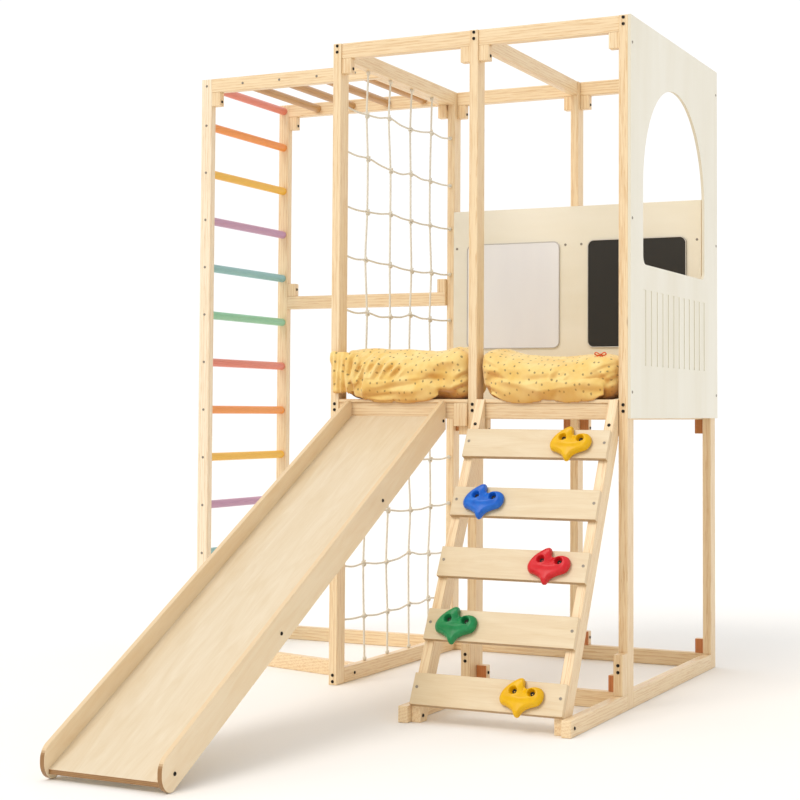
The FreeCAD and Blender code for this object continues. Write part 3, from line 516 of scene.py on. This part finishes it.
# ---------------------------------------------------------------- rope net
def net():
    """Hanging and level ropes meet in knots, with the small unevenness of a hand-tied net."""
    end_rise = Vector((0, 0, 4)) * MM
    rope_mat = twine("rope_twine", "#ECE7D9", "#D6CFBD")
    dice = random.Random(7)
    uprights = sorted(solids("net_ropes_upright"), key=lambda s: s[:, 1].mean())
    levels = sorted(solids("net_ropes_level"), key=lambda s: s[:, 2].mean())
    radius = (uprights[0][:, 0].max() - uprights[0][:, 0].min()) / 2
    aside = Vector((radius * 0.6, 0, 0))
    middle_x = uprights[0][:, 0].mean() + radius
    ys = [rope[:, 1].mean() for rope in uprights]
    zs = [rope[:, 2].mean() for rope in levels]
    knots = [[Vector((middle_x, y + dice.uniform(-9, 9) * MM, z + dice.uniform(-11, 11) * MM))
              for y in ys] for z in zs]
    upright = Heap()
    for column, rope in enumerate(uprights):
        low, high = rope.min(0), rope.max(0)
        spots = [Vector((middle_x, ys[column], low[2]))]
        spots += [row[column] - aside for row in knots]
        spots.append(Vector((middle_x, ys[column], high[2])))
        upright.tube(smooth_path(spots, 3 * MM), radius, 12, lobes=3, pitch=30 * MM)
    new_piece("net_uprights", upright.verts, upright.faces, rope_mat,
              hides=["net_ropes_upright"])
    level = Heap()
    for row, rope in zip(knots, levels):
        low, high = rope.min(0), rope.max(0)
        ends = [Vector((middle_x, low[1], row[0].z)) + end_rise,
                Vector((middle_x, high[1], row[-1].z)) + end_rise]
        stops = [ends[0]] + [spot + aside for spot in row] + [ends[1]]
        spots = [stops[0]]
        for before, after in zip(stops, stops[1:]):
            sag = Vector((0, 0, dice.uniform(2, 7) * MM))
            spots += [(before + after) / 2 - sag, after]
        level.tube(smooth_path(spots, 3 * MM), radius * 0.95, 12, lobes=3, pitch=30 * MM)
    new_piece("net_levels", level.verts, level.faces, rope_mat, hides=["net_ropes_level"])
    lumps = Heap()
    for row in knots:
        for spot in row:
            trefoil(lumps, spot, 2.9 * MM, radius * 0.85, dice.uniform(0, math.pi))
    new_piece("net_knots", lumps.verts, lumps.faces, rope_mat)
    collars = Heap()
    for rope in uprights:
        for z, way in ((rope[:, 2].min(), 1), (rope[:, 2].max(), -1)):
            coil(collars, Vector((middle_x, rope[:, 1].mean(), z)), Vector((0, 0, way)), radius)
    for row, rope in zip(knots, levels):
        for y, knot, way in ((rope[:, 1].min(), row[0], 1), (rope[:, 1].max(), row[-1], -1)):
            coil(collars, Vector((middle_x, y, knot.z)) + end_rise, Vector((0, way, 0)), radius)
    new_piece("net_end_knots", collars.verts, collars.faces, rope_mat)


def trefoil(heap, centre, size, radius, turn):
    """A tight knot whose flat side looks along X."""
    points = []
    for k in range(42):
        t = 2 * math.pi * k / 42
        a = math.sin(t) + 2 * math.sin(2 * t)
        b = math.cos(t) - 2 * math.cos(2 * t)
        y = a * math.cos(turn) - b * math.sin(turn)
        z = a * math.sin(turn) + b * math.cos(turn)
        points.append(centre + Vector((-math.sin(3 * t) * 1.1, y, z)) * size)
    heap.tube(points, radius, 8, closed=True)


def coil(heap, start, way, radius):
    """Two turns of rope wound round an end where it leaves a rail or a post."""
    side = way.orthogonal().normalized()
    other = way.cross(side)
    points = []
    for k in range(33):
        angle = 4 * math.pi * k / 32
        out = radius * 1.15
        points.append(start + way * (radius * (0.9 + 2.0 * k / 32))
                      + (side * math.cos(angle) + other * math.sin(angle)) * out)
    heap.tube(points, radius * 0.8, 8)


# ---------------------------------------------------------------- bolts and screws
def head(heap, centre, facing, radius, height, corners):
    """A low domed head with a sunk drive: six corners for a socket, four lobes for a cross."""
    side = facing.orthogonal().normalized()
    other = facing.cross(side)
    shapes = ((1.0, 0.0, 0), (1.0, 0.45, 0), (0.86, 0.9, 0), (0.6, 1.0, 0), (0.52, 0.98, 1),
              (0.46, 0.3, 1), (0.1, 0.2, 1))
    rings = []
    for reach, rise, sunk in shapes:
        ring = []
        for k in range(24):
            angle = 2 * math.pi * k / 24
            size = radius * reach
            if sunk and corners == 6:
                size *= 0.93 / math.cos((angle % (math.pi / 3)) - math.pi / 6) * 0.93
            elif sunk:
                size *= 0.55 + 0.45 * abs(math.cos(2 * angle)) ** 2
            ring.append(centre + (side * math.cos(angle) + other * math.sin(angle)) * size
                        + facing * (height * rise))
        rings.append(ring)
    heap.rings(rings)


def heads(node, material, corners):
    """Replace each plain disc of a CAD node by a head with a drive in it."""
    heap = Heap()
    for points in solids(node):
        middle = (points.max(0) + points.min(0)) / 2
        spread = points - points.mean(0)
        axes = np.linalg.svd(spread, full_matrices=False)[2]
        facing = Vector(axes[2])
        if facing.dot(Vector((1, -1, 0.4))) < 0:
            facing.negate()
        depths = spread @ np.array(facing)
        radius = np.abs(spread @ axes[0]).max()
        thick = depths.max() - depths.min()
        base = Vector(middle) - facing * (thick / 2)
        head(heap, base, facing, radius, thick, corners)
    new_piece(node + "_heads", heap.verts, heap.faces, material, hides=[node], smooth=False)


# ---------------------------------------------------------------- climbing holds
HOLD_EDGE = [(-8, 50), (1, 46), (4, 28), (18, 24), (36, 29), (51, 24), (57, 6), (48, -14),
             (24, -24), (9, -34), (0, -49), (-10, -48), (-19, -34), (-36, -24), (-52, -18),
             (-57, 0), (-46, 22), (-26, 40)]
HOLD_RECESSES = ((-20, 14), (28, 11))
HOLD_THICK = 25
SEAT_RADIUS, SEAT_DEPTH = 8.8, 14
LIP_RADIUS, LIP_RISE = 11.5, 1.4      # the raised ring round each seat


def closed_curve(points, count):
    """Evenly many points on a smooth closed line through the corners given."""
    total = len(points)
    line = []
    for k in range(count):
        place = k / count * total
        i, t = int(place), place - int(place)
        a, b, c, d = (np.array(points[(i + n) % total], float) for n in (-1, 0, 1, 2))
        line.append(0.5 * (2 * b + (c - a) * t + (2 * a - 5 * b + 4 * c - d) * t * t
                           + (3 * b - a - 3 * c + d) * t ** 3))
    return line


def hold(node, material):
    """A moulded hold: a swollen body with a low brow, a dip under its ear and two sunk seats."""
    low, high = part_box(node)
    rise, run = math.sin(CLIMB_ANGLE), math.cos(CLIMB_ANGLE)
    origin = Vector(((low.x + high.x) / 2, high.y - 43 * MM * run, low.z + 46 * MM * rise))
    edge = closed_curve(HOLD_EDGE, 90)
    centre = np.array((0.0, 2.0))
    rings = []
    shares = [1.0, 1.0, 0.985, 0.955, 0.91, 0.85] + [0.8 - 0.05 * k for k in range(16)]
    lifts = [0.0, 0.3, 0.5, 0.66, 0.79, 0.88]
    for number, share in enumerate(shares):
        ring = []
        for spot in edge:
            x, up = centre + (spot - centre) * max(share, 0.012)
            out = lifts[number] if number < len(lifts) else 0.9 + 0.1 * (1 - share ** 2)
            brow = math.exp(-((up + 6 - abs(x) * 0.12) / 7) ** 2 - (x / 42) ** 4) * 0.1
            waist = math.exp(-((x - 5) / 10) ** 2 - ((up - 20) / 12) ** 2) * 0.34
            out = (out + (brow - waist) * min(1, number / 6)) * HOLD_THICK
            for rx, ru in HOLD_RECESSES:
                away = math.hypot(x - rx, up - ru)
                out -= SEAT_DEPTH / (1 + math.exp((away - SEAT_RADIUS) * 1.8)) * min(1, number / 5)
                out += LIP_RISE * math.exp(-((away - LIP_RADIUS) / 2.2) ** 2) * min(1, number / 6)
            out = max(out, 0.2 if number else 0)
            ring.append(origin + Vector((x, up * run - out * rise, up * rise + out * run)) * MM)
        rings.append(ring)
    heap = Heap()
    heap.rings(rings)
    piece = new_piece(node + "_moulding", heap.verts, heap.faces, material, hides=[node])
    piece.modifiers.new("smooth", "SUBSURF").levels = 1
    piece.modifiers["smooth"].render_levels = 1
    bolts = Heap()
    facing = Vector(CLIMB_FACE)
    for rx, ru in HOLD_RECESSES:
        seat = origin + Vector((rx, ru * run, ru * rise)) * MM + facing * (9.5 * MM)
        head(bolts, seat, facing, 6 * MM, 3.5 * MM, 6)
    new_piece(node + "_bolts", bolts.verts, bolts.faces, MATERIALS["bolt"],
              smooth=False)


# ---------------------------------------------------------------- cushions
DECK_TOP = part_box("deck_boards")[1].z


def off_the_wood(points):
    """Keep the cover above the deck where it lies behind the posts' front."""
    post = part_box("post_front_left")[0].y - 0.6 * MM
    behind = points[:, 1] > post
    points[behind, 2] = np.maximum(points[behind, 2], DECK_TOP + 0.4 * MM)
    return points


def bolster(name, low, high, across=64, around=48):
    """A stuffed bolster before it is blown up: a rounded box with gathered ends."""
    heap = Heap()
    rings = []
    middle_y, middle_z = (low.y + high.y) / 2, (low.z + high.z) / 2
    half_y, half_z = (high.y - low.y) / 2, (high.z - low.z) / 2
    for step in range(across + 1):
        t = step / across
        x = low.x + (high.x - low.x) * t
        edge = min(t, 1 - t)
        pull = 0.72 + 0.28 * min(1, edge / 0.06) ** 0.5
        ring = []
        for k in range(around):
            angle = 2 * math.pi * k / around
            c, s = math.cos(angle), math.sin(angle)
            cy = math.copysign(abs(c) ** 0.55, c) * half_y * pull
            cz = math.copysign(abs(s) ** 0.55, s) * half_z * pull
            ring.append(Vector((x, middle_y + cy, middle_z + cz)))
        rings.append(ring)
    heap.rings(rings)
    mesh = bpy.data.meshes.new(name)
    mesh.from_pydata([tuple(v) for v in heap.verts], [], heap.faces)
    piece = bpy.data.objects.new(name, mesh)
    bpy.context.scene.collection.objects.link(piece)
    return piece


def apply_modifiers(piece):
    """Turn what the modifiers show into the piece's own mesh."""
    bpy.context.view_layer.update()
    shown = piece.evaluated_get(bpy.context.evaluated_depsgraph_get())
    mesh = bpy.data.meshes.new_from_object(shown)
    piece.modifiers.clear()
    piece.data = mesh


def remesh(piece, voxel):
    modifier = piece.modifiers.new("remesh", "REMESH")
    modifier.mode = "VOXEL"
    modifier.voxel_size = voxel
    apply_modifiers(piece)


PRESSURE = 4.0
CLOTH_FRAMES = 20


def blow_up(piece, cap):
    """Cloth under pressure, with how far a point may move held to a cap."""
    before = np.array([v.co for v in piece.data.vertices])
    cloth = piece.modifiers.new("cloth", "CLOTH")
    cloth.settings.quality = 6
    cloth.settings.mass = 0.25
    cloth.settings.tension_stiffness = 18
    cloth.settings.compression_stiffness = 18
    cloth.settings.bending_stiffness = 0.6
    cloth.settings.use_pressure = True
    cloth.settings.uniform_pressure_force = PRESSURE
    cloth.settings.effector_weights.gravity = 0
    scene = bpy.context.scene
    for number in range(1, CLOTH_FRAMES + 1):
        scene.frame_set(number)
    apply_modifiers(piece)
    scene.frame_set(1)
    after = np.array([v.co for v in piece.data.vertices])
    step = after - before
    length = np.linalg.norm(step, axis=1, keepdims=True) + 1e-9
    return before + step * np.minimum(1, cap / length)


def crease(points, normals, start, end, depth, width):
    """Push a soft valley, with small ridges beside it, along a line seen from the front."""
    a, b = np.array(start), np.array(end)
    flat = points[:, [0, 2]]
    line = b - a
    along = np.clip(((flat - a) @ line) / (line @ line), 0, 1)
    away = np.linalg.norm(flat - (a + along[:, None] * line), axis=1)
    taper = np.sin(np.pi * np.clip(0.08 + along * 0.84, 0, 1))
    shape = np.exp(-(away / width) ** 2) - 0.7 * np.exp(-((away - 2 * width) / width) ** 2)
    front = np.clip(-normals[:, 1] * 1.5 + 0.3, 0, 1) + np.clip(normals[:, 2], 0, 1) * 0.5
    return points - normals * (depth * taper * shape * np.clip(front, 0, 1))[:, None]


def fold(points, normals, corner, creases):
    """Crease a cover along each of a list of lines measured from its corner."""
    for start, end, depth, width in creases:
        points = crease(points, normals, (corner.x + start[0] * MM, corner.z + start[1] * MM),
                        (corner.x + end[0] * MM, corner.z + end[1] * MM), depth * MM, width * MM)
    return points


def vertex_normals(piece):
    normals = np.empty(len(piece.data.vertices) * 3)
    piece.data.vertices.foreach_get("normal", normals)
    return normals.reshape(-1, 3)


def set_points(piece, points):
    piece.data.vertices.foreach_set("co", points.astype(float).ravel())
    piece.data.update()


def crumple(points, normals, size, depth, seed):
    """Soft unevenness of stuffing under cloth."""
    lift = [noise.noise(Vector(p) / size + Vector((seed, 0, 0))) * depth for p in points]
    return points + normals * np.array(lift)[:, None]


CLOTH_REACH = 0.088       # metres of cover for each radian round the bolster


def lay_cloth(piece):
    """A flat map of the cover: along the bolster, and round it from its top."""
    mesh = piece.data
    points = np.array([v.co for v in mesh.vertices])
    middle = (points.max(0) + points.min(0)) / 2
    angle = np.arctan2(points[:, 1] - middle[1], points[:, 2] - middle[2])
    layer = mesh.uv_layers.new(name="cloth")
    for face in mesh.polygons:
        first = angle[face.vertices[0]]
        for loop, vert in zip(face.loop_indices, face.vertices):
            turn = angle[vert]
            turn += 2 * math.pi * round((first - turn) / (2 * math.pi))
            layer.data[loop].uv = (points[vert][0], turn * CLOTH_REACH)


def refine(piece, points):
    """Round the blown-up cover once, so that folds can be fine."""
    set_points(piece, points)
    soften = piece.modifiers.new("smooth", "SUBSURF")
    soften.levels = soften.render_levels = 1
    apply_modifiers(piece)
    return np.array([v.co for v in piece.data.vertices]), vertex_normals(piece)


def finish_cushion(piece, body, material):
    lay_cloth(piece)
    piece.data.polygons.foreach_set("use_smooth", [True] * len(piece.data.polygons))
    piece.data.materials.clear()
    piece.data.materials.append(material)
    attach(piece, body)


def sag_top(points, low, high, heights):
    """Lower the top along x to the given shares of the height, and leave the bottom alone."""
    places = np.linspace(low.x, high.x, len(heights))
    share = np.interp(points[:, 0], places, heights)
    up = np.clip((points[:, 2] - low.z) / (high.z - low.z), 0, 1)
    points[:, 2] = low.z + (points[:, 2] - low.z) * (1 + (share - 1) * up)
    return points


def add_block(piece, low, high, across=30, around=32):
    """Join one more soft block to a piece, before they are melted together."""
    extra = bolster("extra", low, high, across, around)
    bm = bmesh.new()
    bm.from_mesh(piece.data)
    bm.from_mesh(extra.data)
    bm.to_mesh(piece.data)
    bm.free()
    bpy.data.objects.remove(extra)


FRONT_ROOM = Vector((0, 9, 0)) * MM       # how far a full cover may swell forward of its block


def keep_inside(points, low, high):
    return np.clip(points, np.array(low), np.array(high))


LIP_TOP = DECK_TOP + 45 * MM
LIP_EASE = 48 * MM


def hang_lip(points, left, right, bottom):
    """Bring the cover's front down over the rail between two sides, easing off at both ends."""
    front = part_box("post_front_left")[0].y - 2 * MM
    inside = np.clip(np.minimum(points[:, 0] - left, right - points[:, 0]) / LIP_EASE, 0, 1)
    inside = inside * inside * (3 - 2 * inside)
    chosen = (points[:, 1] < front) & (points[:, 2] < LIP_TOP) & (inside > 0)
    lowest = points[chosen, 2].min()
    reach = (LIP_TOP - bottom) / (LIP_TOP - lowest)
    drop = (LIP_TOP - points[:, 2]) * (reach - 1) * inside
    points[chosen, 2] -= drop[chosen]
    return points


def cushion_right(material):
    low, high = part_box("cushion_right")
    margin = Vector((3, 8, 7)) * MM
    block_low = Vector((low.x, low.y, DECK_TOP)) + margin
    piece = bolster("cushion_right_cloth", block_low, high - margin)
    left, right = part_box("climb_stringer_left")[1].x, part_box("climb_stringer_right")[0].x
    add_block(piece, Vector((left + 9 * MM, low.y + 0.5 * MM, low.z + 11 * MM)),
              Vector((right - 9 * MM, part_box("post_front_left")[0].y - 1.5 * MM, low.z + 60 * MM)))
    remesh(piece, 6 * MM)
    points, normals = refine(piece, blow_up(piece, 12 * MM))
    points = crumple(points, normals, 60 * MM, 4 * MM, 3.0)
    points = fold(points, normals, low, RIGHT_CREASES)
    points = sag_top(points, low, high, RIGHT_TOP)
    points = hang_lip(points, left + 8 * MM, right - 8 * MM, low.z + 1 * MM)
    set_points(piece, off_the_wood(keep_inside(points, low - FRONT_ROOM, high)))
    finish_cushion(piece, "cushion_right", material)
    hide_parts("cushion_right")
    return piece


def cushion_left(material):
    low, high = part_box("cushion_left")
    post_low, post_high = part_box("post_front_left")
    block_low = Vector((post_high.x + 4 * MM, low.y + 5 * MM, DECK_TOP + 5 * MM))
    piece = bolster("cushion_left_cloth", block_low, high - Vector((3, 8, 6)) * MM)
    add_block(piece, Vector((low.x + 1 * MM, low.y + 0.5 * MM, low.z + 28 * MM)),
              Vector((low.x + 90 * MM, post_low.y - 1.5 * MM, low.z + 152 * MM)))
    bed_low, bed_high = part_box("slide_bed")
    add_block(piece, Vector((bed_low.x + 9 * MM, low.y + 0.5 * MM, low.z + 11 * MM)),
              Vector((bed_high.x - 9 * MM, post_low.y - 1.5 * MM, low.z + 60 * MM)))
    remesh(piece, 5 * MM)
    points, normals = refine(piece, blow_up(piece, 8 * MM))
    points = crumple(points, normals, 50 * MM, 5 * MM, 8.0)
    points = fold(points, normals, low, LEFT_CREASES)
    points = sag_top(points, low, high, LEFT_TOP)
    points = hang_lip(points, bed_low.x + 8 * MM, bed_high.x - 8 * MM, low.z + 1 * MM)
    points = keep_inside(points, low - FRONT_ROOM, high)
    beside = points[:, 0] < post_high.x + 1 * MM
    points[beside, 1] = np.minimum(points[beside, 1], post_low.y - 0.6 * MM)
    set_points(piece, off_the_wood(points))
    finish_cushion(piece, "cushion_left", material)
    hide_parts("cushion_left")


# The top's height at even steps from left to right, as a share of the cover's whole height
RIGHT_TOP = (1.0, 0.94, 0.86, 0.82, 0.79, 0.78, 0.78, 0.8, 0.84, 0.84, 0.82)
LEFT_TOP = (1.0, 1.0, 0.96, 0.96, 0.95, 0.94, 0.92, 0.9, 0.92, 0.98, 1.0)
# Each fold: start and end across and up from the cover's lowest corner in millimetres, depth, width
LEFT_CREASES = (
    ((10, 40), (16, 140), 7, 4), ((22, 44), (30, 148), 8, 4.5), ((36, 34), (40, 146), 9, 5),
    ((50, 22), (52, 120), 10, 5), ((62, 60), (84, 148), 9, 5), ((74, 20), (72, 84), 8, 5),
    ((88, 70), (116, 146), 8, 5), ((100, 30), (112, 92), 7, 6), ((128, 84), (158, 140), 7, 5.5),
    ((150, 66), (180, 128), 7, 6), ((184, 84), (218, 126), 6, 6), ((206, 76), (232, 108), 5, 6),
    ((120, 34), (300, 62), 6, 8), ((100, 22), (250, 34), 5, 7), ((300, 76), (368, 66), 3, 9),
    ((384, 30), (424, 52), 8, 7), ((398, 66), (426, 88), 5, 6), ((330, 30), (392, 26), 4, 8),
)
RIGHT_CREASES = (
    ((2, 44), (70, 30), 4, 7), ((8, 120), (74, 100), 3, 8), ((150, 70), (240, 82), 2, 9),
    ((226, 62), (250, 110), 4, 7), ((244, 70), (262, 100), 3, 6), ((300, 46), (380, 32), 2.5, 9),
    ((338, 88), (392, 122), 4, 7), ((372, 56), (402, 84), 4, 6), ((60, 56), (140, 44), 2, 9),
)


def ribbon(cushion, material):
    """The little tie on top of the right cushion: two loops and two tails."""
    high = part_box("cushion_right")[1]
    across = high.x - 46 * MM
    cover = np.array([v.co for v in cushion.data.vertices])
    close = cover[(abs(cover[:, 0] - across) < 12 * MM) & (cover[:, 1] < cover[:, 1].min() + 50 * MM)]
    knot = Vector(close[close[:, 2].argmax()]) + Vector((0, 0, 2)) * MM
    heap = Heap()
    for side in (-1, 1):
        loop = [(0, 0, 0), (6, -2, 5), (13, -3, 7), (16, -1, 3), (11, 1, 0), (4, 1, 0), (0, 0, 0)]
        tail = [(0, 0, 0), (5, -5, -2), (10, -9, -6), (13, -12, -11)]
        for shape, radius in ((loop, 1.7), (tail, 1.5)):
            spots = [knot + Vector((x * side, y, z)) * MM for x, y, z in shape]
            heap.tube(smooth_path(spots, 1.2 * MM), radius * MM, 6)
    trefoil(heap, knot, 1.2 * MM, 1.8 * MM, 0.4)
    return new_piece("cushion_tie", heap.verts, heap.faces, material,
                     body="cushion_right")


# ---------------------------------------------------------------- camera, floor and light
CAMERA_PLACE = (2.1698, -4.0168, 0.7814)
CAMERA_YAW = 25.914
CAMERA_PITCH = 2.45
CAMERA_ROLL = 0.342
CAMERA_LENS = 75.74
CAMERA_SHIFT = -0.075


def camera():
    yaw, pitch, roll = (math.radians(a) for a in (CAMERA_YAW, CAMERA_PITCH, CAMERA_ROLL))
    ahead = Vector((-math.sin(yaw) * math.cos(pitch), math.cos(yaw) * math.cos(pitch),
                    math.sin(pitch)))
    right = Vector((math.cos(yaw), math.sin(yaw), 0))
    up = right.cross(ahead)
    turned_right = right * math.cos(roll) + up * math.sin(roll)
    turned_up = up * math.cos(roll) - right * math.sin(roll)
    matrix = Matrix((turned_right, turned_up, -ahead)).transposed().to_4x4()
    matrix.translation = CAMERA_PLACE
    data = bpy.data.cameras.new("camera")
    data.lens, data.sensor_width, data.shift_y = CAMERA_LENS, 36, CAMERA_SHIFT
    data.clip_end = 200
    eye = bpy.data.objects.new("camera", data)
    bpy.context.scene.collection.objects.link(eye)
    eye.matrix_world = matrix
    bpy.context.scene.camera = eye


def floor():
    shader = Shader("studio_floor", roughness=0.9)
    cloud = shader.noise(shader.place, 0.8, 2.0)
    material = shader.finish(shader.mix(cloud, srgb("#FBFAF8"), srgb("#F7F6F4")))
    mesh = bpy.data.meshes.new("studio_floor")
    bm = bmesh.new()
    bmesh.ops.create_grid(bm, x_segments=8, y_segments=8, size=40)
    bm.to_mesh(mesh)
    bm.free()
    mesh.materials.append(material)
    ground = bpy.data.objects.new("studio_floor", mesh)
    ground.location.z = -0.0005
    bpy.context.scene.collection.objects.link(ground)


def studio():
    """Light from all round that is brightest behind the object, and a broad sun as the key."""
    world = bpy.data.worlds.new("studio")
    world.use_nodes = True
    tree = world.node_tree
    place = tree.nodes.new("ShaderNodeTexCoord")
    part = tree.nodes.new("ShaderNodeVectorMath")
    part.operation = "DOT_PRODUCT"
    part.inputs[1].default_value = (-0.5, 0.85, 0.15)
    ramp = tree.nodes.new("ShaderNodeValToRGB")
    ramp.color_ramp.elements[0].position, ramp.color_ramp.elements[1].position = 0.1, 0.75
    ramp.color_ramp.elements[0].color = (0.6, 0.595, 0.585, 1)
    ramp.color_ramp.elements[1].color = (1.0, 1.0, 1.0, 1)
    ramp.color_ramp.interpolation = "EASE"
    spread = tree.nodes.new("ShaderNodeMath")
    spread.operation = "MULTIPLY_ADD"
    spread.inputs[1].default_value, spread.inputs[2].default_value = 0.5, 0.5
    tree.links.new(place.outputs["Generated"], part.inputs[0])
    tree.links.new(part.outputs["Value"], spread.inputs[0])
    tree.links.new(spread.outputs[0], ramp.inputs["Fac"])
    tree.links.new(ramp.outputs["Color"], tree.nodes["Background"].inputs["Color"])
    tree.nodes["Background"].inputs["Strength"].default_value = 1.04
    bpy.context.scene.world = world
    sun = bpy.data.lights.new("key", "SUN")
    sun.energy, sun.angle, sun.color = 1.2, math.radians(28), srgb("#FFF7EE")[:3]
    light = bpy.data.objects.new("key", sun)
    light.rotation_euler = Vector((0.3, 0.95, -1.1)).to_track_quat("-Z", "Y").to_euler()
    bpy.context.scene.collection.objects.link(light)
    bpy.context.scene.view_settings.view_transform = "Standard"
    bpy.context.scene.view_settings.look = "None"


# ---------------------------------------------------------------- everything together
camera()
floor()
studio()
MATERIALS = {
    "bolt": metal("bolt_black", "#1D1A17", "#302B26", 0.4, 0.6),
    "screw": metal("screw_zinc", "#8B8276", "#A0988C", 0.5, 0.3),
    "cotton": cotton("cotton_yellow", "#F8DC92", "#EDC468", "#5F5A3C"),
}
dress_timber()
dress_boards()
rim("whiteboard_rim", "whiteboard", metal("rim_grey", "#BDBAB6", "#C8C5C0", 0.4, 0.1))
rim("chalkboard_rim", "chalkboard", metal("rim_light", "#CFCBC3", "#DAD6CE", 0.4, 0.1))
net()
for node_name in ("frame_bolts", "slide_bolts"):
    heads(node_name, MATERIALS["bolt"], 6)
for node_name in ("panel_screws", "wood_screws"):
    heads(node_name, MATERIALS["screw"], 4)
HOLD_COLOURS = {
    "hold_yellow_low": ("hold_yellow", "#E6B000", "#ECBA00"),
    "hold_yellow_high": ("hold_yellow", "#E6B000", "#ECBA00"),
    "hold_green": ("hold_green", "#188048", "#249055"),
    "hold_red": ("hold_red", "#CF1520", "#DA2A33"),
    "hold_blue": ("hold_blue", "#125FC8", "#1F73DC"),
}
for node_name, (slot_name, base_colour, bright_colour) in HOLD_COLOURS.items():
    hold(node_name, moulded("plastic_" + node_name, base_colour, bright_colour))
right_cushion = cushion_right(MATERIALS["cotton"])
cushion_left(MATERIALS["cotton"])
ribbon(right_cushion, painted("tie_orange", "x", "#D9551C", "#E66F30", 0.8))
